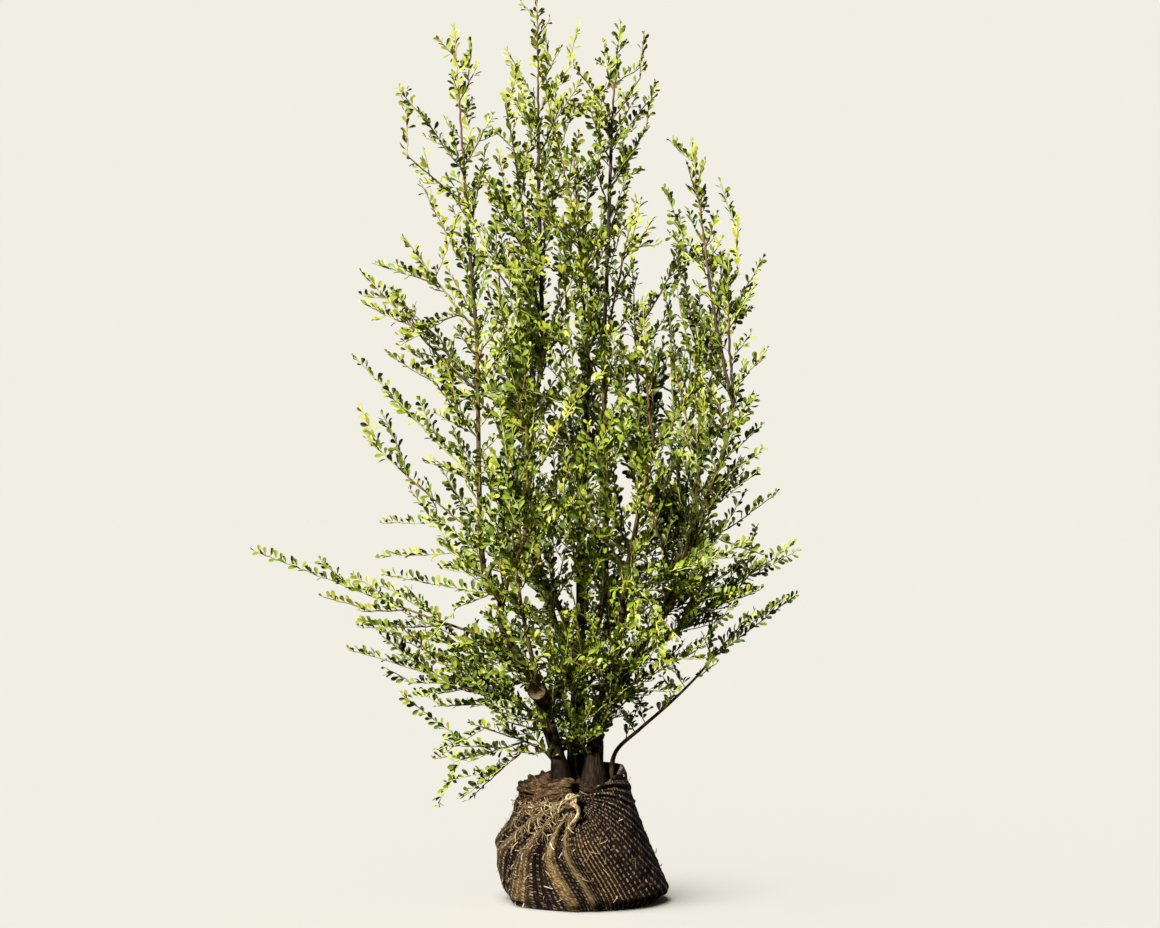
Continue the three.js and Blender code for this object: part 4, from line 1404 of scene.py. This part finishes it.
# %% Jute: yarns and stains
yarn_in = add_node(jute, "TexWave", {"bands_direction": "X"}, Vector=(swapped, "Vector"),
                   Scale=0.45, Distortion=1.2, Detail=2.0, Detail_Scale=2.0)
yarn_across = add_node(jute, "TexWave", {"bands_direction": "Y"}, Vector=(swapped, "Vector"),
                       Scale=0.9, Distortion=1.2, Detail=2.0, Detail_Scale=2.0)
weave = add_node(jute, "Math", {"operation": "MAXIMUM"}, i0=(yarn_in, "Fac"),
                 i1=(yarn_across, "Fac"))
stain = add_node(jute, "TexNoise", Vector=(swapped, "Vector"), Scale=0.35, Detail=4.0,
                 Roughness=0.65)
yarn_tone = add_node(jute, "ValToRGB", Fac=(stain, "Fac"), stops=[
    (0.30, "0d0806"), (0.50, "211610"), (0.72, "402d20")])
print(f"{len(jute.node_tree.nodes)} nodes so far")

# %% Jute: gold on the crests, with a painted highlight
# the crest mark is the yarn's own gold, with a painted highlight on the sunny side's fold crests
crest_gold_and_highlight_share = add_node(jute, "Attribute", {"attribute_name": "crest"})
gold_noise = add_node(jute, "TexNoise", Vector=(swapped, "Vector"), Scale=2.2, Detail=4.0)
gold_tone = add_node(jute, "ValToRGB", Fac=(gold_noise, "Fac"), stops=[
    (0.32, "604a29"), (0.52, "a48851"), (0.72, "d0b77d")])
# the gold comes and goes along a fold
gold_patches = add_node(jute, "ValToRGB", Fac=(stain, "Fac"), stops=[
    (0.32, "000000"), (0.55, "ffffff")])
gold_and_highlight_share = add_node(jute, "Math", {"operation": "MULTIPLY", "use_clamp": True},
                      i0=(crest_gold_and_highlight_share, "Fac"), i1=(gold_patches, "Color"))
gold_and_highlight_tone = add_node(jute, "Mix", {"data_type": "RGBA"}, i0=(gold_and_highlight_share, "Value"),
                     i6=(yarn_tone, "Color"), i7=(gold_tone, "Color"))
# the gaps between yarns lie in shadow
shadow_tone = add_node(jute, "ValToRGB", Fac=(weave, "Value"), stops=[
    (0.25, "5a5a5a"), (0.75, "ffffff")])
woven_tone = add_node(jute, "Mix", {"data_type": "RGBA", "blend_type": "MULTIPLY"}, i0=0.85,
                      i6=(gold_and_highlight_tone, 2), i7=(shadow_tone, "Color"))
print(f"{len(jute.node_tree.nodes)} nodes so far")

# %% Jute: soil and painted shade in the furrows, and the specks
# soil stays in the furrows and darkens them, and the darkening is also painted shade in the creases
furrow_soil_and_shade_share = add_node(jute, "Attribute", {"attribute_name": "furrow"})
soiled_and_shaded_tone = add_node(jute, "Mix", {"data_type": "RGBA"}, i0=(furrow_soil_and_shade_share, "Fac"),
                       i6=(woven_tone, 2), i7=linear("0e0906"))
# some specks are worn off
speck_wear = add_node(jute, "TexNoise", Vector=(swapped, "Vector"), Scale=0.8, Detail=2.0)
speck_left = add_node(jute, "ValToRGB", Fac=(speck_wear, "Fac"), stops=[
    (0.36, "000000"), (0.58, "ffffff")])
# specks are hidden in the furrows, under their soil and painted shade
speck_clean_and_unshaded = add_node(jute, "Math", {"operation": "SUBTRACT"}, i0=(speck_left, "Color"),
                       i1=(furrow_soil_and_shade_share, "Fac"))
speck_share = add_node(jute, "Math", {"operation": "MULTIPLY", "use_clamp": True},
                       i0=(specks, "Color"), i1=(speck_clean_and_unshaded, "Value"))
specked = add_node(jute, "Mix", {"data_type": "RGBA"}, i0=(speck_share, "Value"),
                   i6=(soiled_and_shaded_tone, 2), i7=linear("b09a86"))
print(f"{len(jute.node_tree.nodes)} nodes so far")

# %% Jute: thin gold yarns, and the relief
# pairs of thin gold yarns show where the cloth is stretched under the knot
stretched = add_node(jute, "Attribute", {"attribute_name": "stretched"})
pairs = add_node(jute, "TexWave", {"bands_direction": "Y"}, Vector=(wobbled, "Vector"),
                 Scale=0.314)
thin_pairs = add_node(jute, "ValToRGB", Fac=(pairs, "Fac"), stops=[
    (0.86, "000000"), (0.95, "ffffff")])
pair_share = add_node(jute, "Math", {"operation": "MULTIPLY", "use_clamp": True},
                      i0=(thin_pairs, "Color"), i1=(stretched, "Fac"))
gilded = add_node(jute, "Mix", {"data_type": "RGBA"}, i0=(pair_share, "Value"),
                  i6=(specked, 2), i7=(gold_tone, "Color"))
link(jute, gilded, 2, jute_shader, "Base Color")
speck_rise = add_node(jute, "Math", {"operation": "MULTIPLY_ADD"}, i0=(specks, "Color"), i1=0.6,
                      i2=(weave, "Value"))
cloth_relief = add_node(jute, "Bump", Height=(speck_rise, "Value"), Strength=0.9, Distance=0.0016)
link(jute, cloth_relief, "Normal", jute_shader, "Normal")
print(f"jute of {len(jute.node_tree.nodes)} nodes")

# %% Make the cloth
cloth = make_piece("jute_cloth", cloth_points, cloth_faces, [jute], corner_map=corner_map)
stretch = np.exp(-((thread - 3.2) / 2.6) ** 4) * np.clip((below - 55) / 30, 0, 1)
stretch *= np.clip((200 - below) / 30, 0, 1)
# the crest mark carries the yarn's gold with a painted highlight, and the furrow mark soil with
# painted shade
marks = {"crest": np.clip(crest - 0.5 * furrow, 0, 1) * front_only,
         "furrow": 0.8 * np.clip(furrow, 0, 1) * front_only * swell,
         "stretched": stretch}
for word, mark in marks.items():
    # the rim, the inside and the base are left unmarked
    unmarked = np.zeros(len(cloth_points) - mark.size)
    give_attribute(cloth, word, "FLOAT", np.append(mark.ravel(), unmarked))
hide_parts("jute_wrap")
print(f"cloth with {len(marks)} kinds of mark")

# %% [markdown]
# ## Soil
# The top of the root ball is dark, crumbly and a little mounded where the stems come out. A few
# crumbs, bits of bark and cushions of moss lie on it. It is one closed lump with its lower part
# inside the cloth, plus small loose lumps joined into one mesh. Thousands of simulated grains
# would look no better here, because the stems and the cloth hide most of it.

# %% Soil finish
# moist soil is nearly black, and its crumbs are far too rough to shine
soil, soil_shader = new_material("moist crumbly soil", "1f1610", 0.95)
soil_shader.inputs["Specular IOR Level"].default_value = 0.2
soil_place = add_node(soil, "TexCoord")
# crumbs about 5 mm across
crumb_noise = add_node(soil, "TexNoise", Vector=(soil_place, "Object"), Scale=200.0, Detail=4.0)
crumb_tone = add_node(soil, "ValToRGB", Fac=(crumb_noise, "Fac"), stops=[
    (0.35, "0f0a07"), (0.55, "2b1f16"), (0.75, "4d3b29")])
link(soil, crumb_tone, "Color", soil_shader, "Base Color")
crumb_relief = add_node(soil, "Bump", Height=(crumb_noise, "Fac"), Strength=0.8, Distance=0.002)
link(soil, crumb_relief, "Normal", soil_shader, "Normal")
print(f"soil of {len(soil.node_tree.nodes)} nodes")

# %% Moss finish
# moss is a cushion of fine leaves, so its tone changes every millimetre or two
moss, moss_shader = new_material("cushion moss", "8d9436", 0.9)
moss_place = add_node(moss, "TexCoord")
moss_noise = add_node(moss, "TexNoise", Vector=(moss_place, "Object"), Scale=600.0, Detail=2.0)
moss_tone = add_node(moss, "ValToRGB", Fac=(moss_noise, "Fac"), stops=[
    (0.3, "565c1d"), (0.6, "8f9438"), (0.8, "bfb95a")])
link(moss, moss_tone, "Color", moss_shader, "Base Color")
print(f"moss of {len(moss.node_tree.nodes)} nodes")

# %% Make the soil
SOIL_RINGS, SOIL_SPOKES = 26, 120
SOIL_GAP = 0.007
spoke_turns = 2 * math.pi * np.arange(SOIL_SPOKES) / SOIL_SPOKES
full_turn = turns % (2 * math.pi)
by_turn = np.argsort(full_turn)
inner_reach = np.hypot(inner_rim[:, 0], inner_rim[:, 1]) - SOIL_GAP
soil_reach = np.interp(spoke_turns, full_turn[by_turn], inner_reach[by_turn], period=2 * math.pi)


def soil_ring(share, level):
    """A ring of the soil, at a share of the way out to the cloth, at one level."""
    out = soil_reach * share
    return np.stack([out * np.cos(spoke_turns), out * np.sin(spoke_turns),
                     np.full(SOIL_SPOKES, level)], axis=1)


mound_shares = (np.arange(SOIL_RINGS) / (SOIL_RINGS - 1)) ** 0.8 * 0.98 + 0.02
soil_points = [soil_ring(share, soil_top + 0.006 - 0.010 * share ** 2) for share in mound_shares]
soil_points += [soil_ring(share, soil_top - sunk) for sunk, share in (
    (0.012, 1.0), (0.05, 0.99), (0.08, 0.9), (0.085, 0.5), (0.085, 0.05))]
soil_rings = len(soil_points)
soil_points = np.vstack(soil_points)
surface = slice(0, SOIL_RINGS * SOIL_SPOKES)
soil_points[surface, 2] += 0.0035 * waves(soil_points[surface], 0.030, 81)
soil_points[surface, 2] += 0.0015 * waves(soil_points[surface], 0.008, 82)
for name in on_soil:
    foot = limbs[name][0][0]
    apart = np.linalg.norm(soil_points[surface, :2] - foot[:2], axis=1)
    soil_points[surface, 2] += 0.007 * np.exp(-((apart - limbs[name][1][0]) / 0.014) ** 2)
lid, base = len(soil_points), len(soil_points) + 1
soil_points = np.vstack([soil_points, soil_points[:SOIL_SPOKES].mean(axis=0),
                         soil_points[-SOIL_SPOKES:].mean(axis=0)])
soil_faces = grid_faces(soil_rings, SOIL_SPOKES)
soil_faces += [((i + 1) % SOIL_SPOKES, i, lid) for i in range(SOIL_SPOKES)]
soil_faces += end_cap(soil_rings, SOIL_SPOKES, base)
# its rings run outwards and down, so its faces are turned over to look out
soil_faces = [tuple(reversed(face)) for face in soil_faces]
ground = make_piece("root_ball_soil", soil_points, soil_faces, [soil])
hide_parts("root_ball")
print(f"soil up to {1000 * soil_points[:, 2].max():.0f} mm high")


# %% Crumbs and moss
def pebble(middle, size, seed):
    """Points and faces of a small uneven lump, from six rings round an upright axis."""
    chance = np.random.default_rng(seed)
    tilt = chance.uniform(0, 2 * math.pi)
    rows, columns = 6, 9
    points = []
    for row in range(rows):
        lean = math.pi * (row + 0.5) / rows
        for column in range(columns):
            swing = 2 * math.pi * column / columns + tilt
            points.append([math.sin(lean) * math.cos(swing), math.sin(lean) * math.sin(swing),
                           0.7 * math.cos(lean)])
    points = np.array(points)
    points *= 1 + 0.35 * waves(points, 1.6, seed)[:, None]
    faces = grid_faces(rows, columns)
    faces.append(tuple(range(columns)))
    faces.append(tuple(reversed(range((rows - 1) * columns, rows * columns))))
    return middle + points * size, faces


LUMPS = 170
chance = np.random.default_rng(12)
loose_points, loose_faces, loose_wear = [], [], []
count = 0
for number in range(LUMPS):
    swing = chance.uniform(0, 2 * math.pi)
    out = math.sqrt(chance.uniform(0.05, 1)) * 0.93
    spot = int(swing / (2 * math.pi) * SOIL_SPOKES) % SOIL_SPOKES
    ring = min(int(out ** 1.25 * (SOIL_RINGS - 1)), SOIL_RINGS - 1)
    middle = soil_points[ring * SOIL_SPOKES + spot]
    # one lump in six is moss, but none at the very front
    mossy = number % 6 == 0 and middle[1] > -0.08
    size = chance.uniform(0.003, 0.006) if mossy else chance.uniform(0.0012, 0.0045)
    points, faces = pebble(middle, size, 900 + number)
    loose_points.append(points)
    loose_faces += [tuple(count + corner for corner in face) for face in faces]
    loose_wear += [int(mossy)] * len(faces)
    count += len(points)
crumbs = make_piece("soil_crumbs_and_moss", np.vstack(loose_points), loose_faces, [soil, moss],
                    loose_wear)
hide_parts("root_ball")
print(f"{len(loose_faces)} faces of crumbs and moss")

# %% [markdown]
# ## Knot, tails and gathers
# The two corners of the cloth are tied once over each other: an overhand knot, whose middle line
# is the curve of a trefoil. A tail hangs from it and curls. Left of the knot the spare cloth is
# bunched up along the rim like a loose rope. Each of these is drawn as a thick, crumpled rope
# along a smooth line, because tied cloth is squeezed until its folds run along it.

# %% Knot finish
# loose jute that has stayed dry is pale straw, dull and furry
twine, twine_shader = new_material("frayed dry jute", "a58f6a", 0.9)
twine_shader.inputs["Specular IOR Level"].default_value = 0.15
twine_place = add_node(twine, "Attribute", {"attribute_name": "grain"})
# twisted fibres: stripes 1.2 mm wide that run along the yarn
fibre = add_node(twine, "TexNoise", Vector=(twine_place, "Vector"), Scale=0.8, Detail=4.0)
fibre_tone = add_node(twine, "ValToRGB", Fac=(fibre, "Fac"), stops=[
    (0.34, "35271a"), (0.46, "80694a"), (0.56, "bba67c"), (0.68, "e6dbbd")])
link(twine, fibre_tone, "Color", twine_shader, "Base Color")
fibre_relief = add_node(twine, "Bump", Height=(fibre, "Fac"), Strength=0.8, Distance=0.001)
link(twine, fibre_relief, "Normal", twine_shader, "Normal")
print(f"dry jute of {len(twine.node_tree.nodes)} nodes")

# %% Finish of the bunched rim
# the bunched rim is the same cloth, but stained by the soil it was pulled through
stained, stained_shader = new_material("soil-stained bunched jute", "4f3d29", 0.92)
stained_shader.inputs["Specular IOR Level"].default_value = 0.12
stained_place = add_node(stained, "Attribute", {"attribute_name": "grain"})
# its creases are about 3 mm apart
stained_fibre = add_node(stained, "TexNoise", Vector=(stained_place, "Vector"), Scale=0.35,
                         Detail=6.0, Roughness=0.7)
stained_tone = add_node(stained, "ValToRGB", Fac=(stained_fibre, "Fac"), stops=[
    (0.34, "120b07"), (0.47, "38291b"), (0.58, "66513a"), (0.72, "a58e66")])
link(stained, stained_tone, "Color", stained_shader, "Base Color")
stained_relief = add_node(stained, "Bump", Height=(stained_fibre, "Fac"), Strength=1.0,
                          Distance=0.002)
link(stained, stained_relief, "Normal", stained_shader, "Normal")
print(f"stained jute of {len(stained.node_tree.nodes)} nodes")


# %% A crumpled rope of cloth
TWIST_LENGTH = 0.055


def yarn(name, line, thick, sides, ribs, seed, material, crumple_share=0.16):
    """A crumpled rope of cloth along a line: ribs run along it with a twist."""
    along = length_along(line)
    ahead, side, top = frames_along(line)
    turn, spokes = circle_round(side, top, sides)
    girth = np.repeat(thick[:, None], sides, axis=1)
    laid = np.stack([np.cos(turn)[None] * girth, np.sin(turn)[None] * girth,
                     np.repeat(along[:, None], sides, axis=1)], axis=2)
    twist = turn[None] * ribs + along[:, None] * 2 * math.pi / TWIST_LENGTH
    crumples = waves(laid.reshape(-1, 3), 0.016, seed).reshape(girth.shape)
    girth = girth * (1 + 0.16 * np.cos(twist) + crumple_share * crumples)
    corners = (line[:, None] + spokes * girth[:, :, None]).reshape(-1, 3)
    ends = np.vstack([line[0] - ahead[0] * thick[0] * 0.5, line[-1] + ahead[-1] * thick[-1] * 0.5])
    faces = grid_faces(len(line), sides)
    faces += [((i + 1) % sides, i, len(corners)) for i in range(sides)]
    faces += end_cap(len(line), sides, len(corners) + 1)
    piece = make_piece(name, np.vstack([corners, ends]), faces, [material])
    # in millimetres, pressed together lengthwise so that the fibres are drawn out along it
    grain_place = np.vstack([laid.reshape(-1, 3) * [1000, 1000, 260],
                             [[0, 0, 0], [0, 0, 260 * along[-1]]]])
    give_attribute(piece, "grain", "FLOAT_VECTOR", grain_place + 11.0 * seed)
    return piece


def smooth_line(points, step):
    """Points about every step along a smooth curve through the points."""
    return smooth_curve(points, np.zeros(len(points)), step)[0]


# %% Knot
# a trefoil closes on itself. This one stops just short of that, where the tails come out
out_of_knot = np.array([math.cos(KNOT_TURN), math.sin(KNOT_TURN), 0])
beside_knot = np.array([-math.sin(KNOT_TURN), math.cos(KNOT_TURN), 0])
swings = np.linspace(0, 2 * math.pi * 0.97, 60)
trefoil = np.stack([np.sin(swings) + 2 * np.sin(2 * swings),
                    np.cos(swings) - 2 * np.cos(2 * swings),
                    -np.sin(3 * swings)], axis=1)
knot_line = (knot_place - out_of_knot * 0.001 + UP * 0.001
             + 0.0036 * (trefoil[:, :1] * beside_knot + trefoil[:, 1:2] * UP * 0.8)
             + 0.0042 * trefoil[:, 2:] * out_of_knot)
knot_thick = 0.0036 + 0.0009 * np.sin(3 * swings + 1)
knot = yarn("knot", knot_line, knot_thick, 12, 4, 3, twine)
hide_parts("wrap_knot")
print(f"knot of {1000 * length_along(knot_line)[-1]:.0f} mm of rope")


# %% Tails
def tail_line(curl):
    """A line from the knot through places given as metres aside, outwards and up from it."""
    return smooth_line(np.array([knot_place + beside_knot * aside + out_of_knot * out + UP * up
                                 for aside, out, up in curl]), 0.002)


hanging_line = tail_line([
    (-0.002, 0.003, -0.002), (0.002, 0.008, -0.008), (0.008, 0.010, -0.013),
    (0.011, 0.009, -0.021), (0.007, 0.008, -0.030), (0.001, 0.010, -0.037),
    (-0.005, 0.007, -0.044), (-0.006, 0.004, -0.052)])
hanging_thick = 0.0042 - 0.0016 * np.linspace(0, 1, len(hanging_line))
hanging_tail = yarn("hanging_tail", hanging_line, hanging_thick, 10, 3, 5, twine)
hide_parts("wrap_knot")
short_line = tail_line([
    (0.0, 0.002, 0.0), (-0.008, 0.009, 0.001), (-0.016, 0.010, -0.004),
    (-0.022, 0.006, -0.012), (-0.024, 0.005, -0.022)])
short_thick = np.linspace(0.0038, 0.0024, len(short_line))
short_tail = yarn("short_tail", short_line, short_thick, 10, 3, 6, twine)
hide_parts("wrap_knot")
print(f"tails of {1000 * length_along(hanging_line)[-1]:.0f} "
      f"and {1000 * length_along(short_line)[-1]:.0f} mm")


# %% Bunched cloth along the rim
def column_at(turn):
    """The number of the cloth's column at an angle."""
    return int(round((turn - turns[0]) / (2 * math.pi) * COLUMNS)) % COLUMNS


def rim_point(turn, rise, inset):
    """A point above the rim at an angle, and inside it by an inset."""
    spot = outer_rim[column_at(turn)]
    direction = unit(np.array([spot[0], spot[1], 0]))
    return spot - direction * inset + UP * rise


BUNCH_POINTS = 34
bunch_turns = np.linspace(KNOT_TURN - 0.10, KNOT_TURN - 1.75, BUNCH_POINTS)
bunch_share = np.linspace(0, 1, BUNCH_POINTS)
sway = np.sin(bunch_share * 11 + 0.5)
bunch_line = np.array([rim_point(turn, 0.004 + 0.006 * math.sin(math.pi * share) + 0.003 * wave,
                                 0.010 - 0.004 * wave)
                       for turn, share, wave in zip(bunch_turns, bunch_share, sway)])
bunch_line = smooth_line(bunch_line, 0.003)
share = np.linspace(0, 1, len(bunch_line))
bunch_thick = 0.0045 + 0.0085 * np.sin(math.pi * np.clip(share * 0.9 + 0.05, 0, 1)) ** 0.7
bunch = yarn("bunched_cloth", bunch_line, bunch_thick, 36, 7, 8, stained, 0.30)
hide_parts("jute_wrap")
# three more lie inside the first: how far out, how much higher, how thick, and the noise's seed
for word, share, rise, thickness, seed in (
        ("second", 0.84, 0.010, 0.9, 9), ("third", 0.66, 0.013, 1.0, 10),
        ("fourth", 0.47, 0.011, 1.0, 11)):
    inner_line = bunch_line[2:-8] * [share, share, 1] + UP * rise
    inner_thick = bunch_thick[2:-8] * thickness
    inner_bunch = yarn(f"{word}_bunch", inner_line, inner_thick, 32, 5, seed, stained, 0.30)
    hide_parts("jute_wrap")
print(f"bunch of {1000 * length_along(bunch_line)[-1]:.0f} mm along the rim")

# %% [markdown]
# ## Frayed yarn
# Jute sheds yarn wherever it is cut or pulled, so frayed strands stand off round the knot, the
# bunch and the folds. A hair system would give hairs of one kind everywhere. Here each strand
# is a thin tube with five points, which lifts off the cloth, curls and comes back. More than
# half of them lie near the knot, where the cloth was cut.

# %% Frayed yarn
STRANDS = 720
STRAND_POINTS = 5
chance = np.random.default_rng(77)
fray_points, fray_faces = [], []
count = 0
for number in range(STRANDS):
    zone = chance.uniform()
    if zone < 0.55:
        # round the knot and along the bunch
        turn = KNOT_TURN - abs(chance.normal(0.25, 0.55))
        height = 1 - abs(chance.normal(0, 0.16))
        length = chance.uniform(0.006, 0.020)
        lift = chance.uniform(0.002, 0.008)
    elif zone < 0.85:
        # on the folds left of the knot
        turn = KNOT_TURN + chance.normal(-0.45, 0.5)
        height = 1 - abs(chance.normal(0.1, 0.4))
        length = chance.uniform(0.006, 0.016)
        lift = chance.uniform(0.001, 0.004)
    else:
        turn = chance.uniform(0, 2 * math.pi)
        height = chance.uniform(0.05, 1)
        length = chance.uniform(0.004, 0.012)
        lift = chance.uniform(0.001, 0.003)
    height = min(max(height, 0.04), 1)
    column = column_at(turn)
    row = int(height * (ROWS - 1))
    start = np.array([reach[row, column] * math.cos(turns[column]),
                      reach[row, column] * math.sin(turns[column]), heights[row, column]])
    direction = unit(np.array([start[0], start[1], 0]))
    side = np.array([-direction[1], direction[0], 0])
    run_way = unit(side * chance.normal(0, 1) + UP * chance.normal(-0.3, 0.8))
    curl = unit(side * chance.normal() + UP * chance.normal() + direction * 0.3)
    steps = np.linspace(0, 1, STRAND_POINTS)[:, None]
    off_cloth = 0.0005 + lift * np.sin(math.pi * steps * 0.8)
    line = (start + run_way * length * steps + direction * off_cloth
            + curl * 0.25 * length * steps ** 2)
    line[:, 2] = np.maximum(line[:, 2], 0.001)
    # one strand in seven is a whole yarn, and the others are fibres of it
    thick = chance.uniform(0.0007, 0.0012) if number % 7 == 0 else chance.uniform(0.00025, 0.0005)
    corners, faces = tube(line, np.full(STRAND_POINTS, thick), 3)
    fray_points.append(corners)
    fray_faces += [tuple(count + corner for corner in face) for face in faces]
    count += len(corners)
fray_points = np.vstack(fray_points)
fray = make_piece("frayed_yarn", fray_points, fray_faces, [twine])
# each strand has one place in the noise, and so one tone
per_strand = 3 * STRAND_POINTS
strand_place = np.repeat(fray_points[::per_strand], per_strand, axis=0) * 300
give_attribute(fray, "grain", "FLOAT_VECTOR", strand_place)
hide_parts("jute_wrap")
print(f"{2 * len(fray_faces)} triangles of frayed yarn")

# %% [markdown]
# ## Floor
# The plant stands on a plain pale studio floor, a wide disc. Under the key light the whole crown
# would throw a hard shadow over it, so the floor has its own soft light from above, and only the
# root ball shades it. The floor comes out in the same tone as the room behind it.

# %% Floor
FLOOR_RADII = (0.2, 0.5, 1.5, 5.0, 30.0)
FLOOR_SPOKES = 96
FLOOR_PAINT = "efece1"
# quite matt, like scene paper: it mirrors nothing, at any angle
floor_paint, floor_shader = new_material("matt studio floor", FLOOR_PAINT, 1.0)
floor_shader.inputs["Specular IOR Level"].default_value = 0.0
floor_turns = 2 * math.pi * np.arange(FLOOR_SPOKES) / FLOOR_SPOKES
floor_points = [[0, 0, 0]]
for reach_out in FLOOR_RADII:
    floor_points += [[reach_out * math.cos(turn), reach_out * math.sin(turn), 0]
                     for turn in floor_turns]
floor_faces = [(0, 1 + i, 1 + (i + 1) % FLOOR_SPOKES) for i in range(FLOOR_SPOKES)]
floor_faces += [tuple(1 + corner for corner in reversed(face))
                for face in grid_faces(len(FLOOR_RADII), FLOOR_SPOKES)]
floor_mesh = bpy.data.meshes.new("studio_floor")
floor_mesh.from_pydata(floor_points, [], floor_faces)
floor_mesh.materials.append(floor_paint)
floor = bpy.data.objects.new("studio_floor", floor_mesh)
bpy.context.scene.collection.objects.link(floor)
floor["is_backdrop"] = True
floor.visible_diffuse = False
floor.visible_glossy = False
print(f"floor {2 * FLOOR_RADII[-1]:.0f} m wide")

# %% [markdown]
# ## Light
# A key light from the front left and above, small enough to keep each leaf's shadow, a broad and
# weak fill from behind, so that the back isn't lost, and a weak room light for the shadows. The
# Standard view keeps the hex colours as they are. The room is bright where the camera looks at
# it, as a white studio wall is, but lights the plant weakly. Distant lights have the same
# strength at the top of the crown as at the ball, which a lamp close by would not.

# %% Room
scene = bpy.context.scene
scene.view_settings.view_transform = "Standard"
ROOM_STRENGTH = 0.055
BACKDROP = "f1eee3"
ROOM_LIGHT = "f1ebd2"
world = bpy.data.worlds.new("studio")
world.use_nodes = True
scene.world = world
backdrop = world.node_tree.nodes["Background"]
backdrop.inputs["Color"].default_value = linear(BACKDROP)
backdrop.inputs["Strength"].default_value = 1.0
room = add_node(world, "Background", Color=linear(ROOM_LIGHT), Strength=ROOM_STRENGTH)
seen = add_node(world, "LightPath")
choose = add_node(world, "MixShader", i0=(seen, "Is Camera Ray"), i1=(room, "Background"),
                  i2=(backdrop, "Background"))
link(world, choose, "Shader", world.node_tree.nodes["World Output"], "Surface")
print(f"room light of strength {ROOM_STRENGTH}")


# %% Lights
def sun_light(name, towards, energy, angle, colour):
    """A distant light that shines from a direction."""
    data = bpy.data.lights.new(name, "SUN")
    data.energy = energy
    data.angle = math.radians(angle)
    data.color = colour
    lamp = bpy.data.objects.new(name, data)
    lamp.rotation_euler = Vector(towards).to_track_quat("Z", "Y").to_euler()
    scene.collection.objects.link(lamp)
    return lamp


key = sun_light("key", SUN_FROM, 9.0, 7, (1.0, 0.95, 0.85))
fill = sun_light("fill", (0.55, 0.75, 0.45), 0.9, 40, (0.95, 0.97, 1.0))
# the floor's tone is its paint times the light on it, so the light it needs follows from that
paint = np.array(linear(FLOOR_PAINT)[:3])
wanted = np.array(linear(BACKDROP)[:3])
room_share = np.array(linear(ROOM_LIGHT)[:3]) * ROOM_STRENGTH
FLOOR_LIGHT_FROM = unit(np.array([-0.45, -0.35, 1.0]))
needed = (wanted / paint - room_share) * math.pi / FLOOR_LIGHT_FROM[2]
floor_light = sun_light("floor_light", FLOOR_LIGHT_FROM, float(needed.max()), 60,
                        [float(part) for part in needed / needed.max()])
print(f"floor light {floor_light.data.energy:.2f} W/m2")

# %% Which light falls on what
plant_only = bpy.data.collections.new("lit by the key light")
plant_only.objects.link(floor)
plant_only.collection_objects[0].light_linking.link_state = "EXCLUDE"
key.light_linking.receiver_collection = plant_only
fill.light_linking.receiver_collection = plant_only
floor_only = bpy.data.collections.new("lit by the floor light")
floor_only.objects.link(floor)
floor_light.light_linking.receiver_collection = floor_only
ball_only = bpy.data.collections.new("shades the floor")
ball_only.objects.link(cloth)
floor_light.light_linking.blocker_collection = ball_only

# %% [markdown]
# The leaves and cloth are grown to stay in the plain model's box, apart from a few millimetres.
# Both boxes are kept, so that they can be compared.

finished_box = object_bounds()
boxes = [[[float(value) for value in corner] for corner in box] for box in (cad_box, finished_box)]
for low_or_high in range(2):
    change = [1000 * (b - a) for a, b in zip(boxes[0][low_or_high], boxes[1][low_or_high])]
    print("box corner moved by", [round(value, 1) for value in change], "mm")
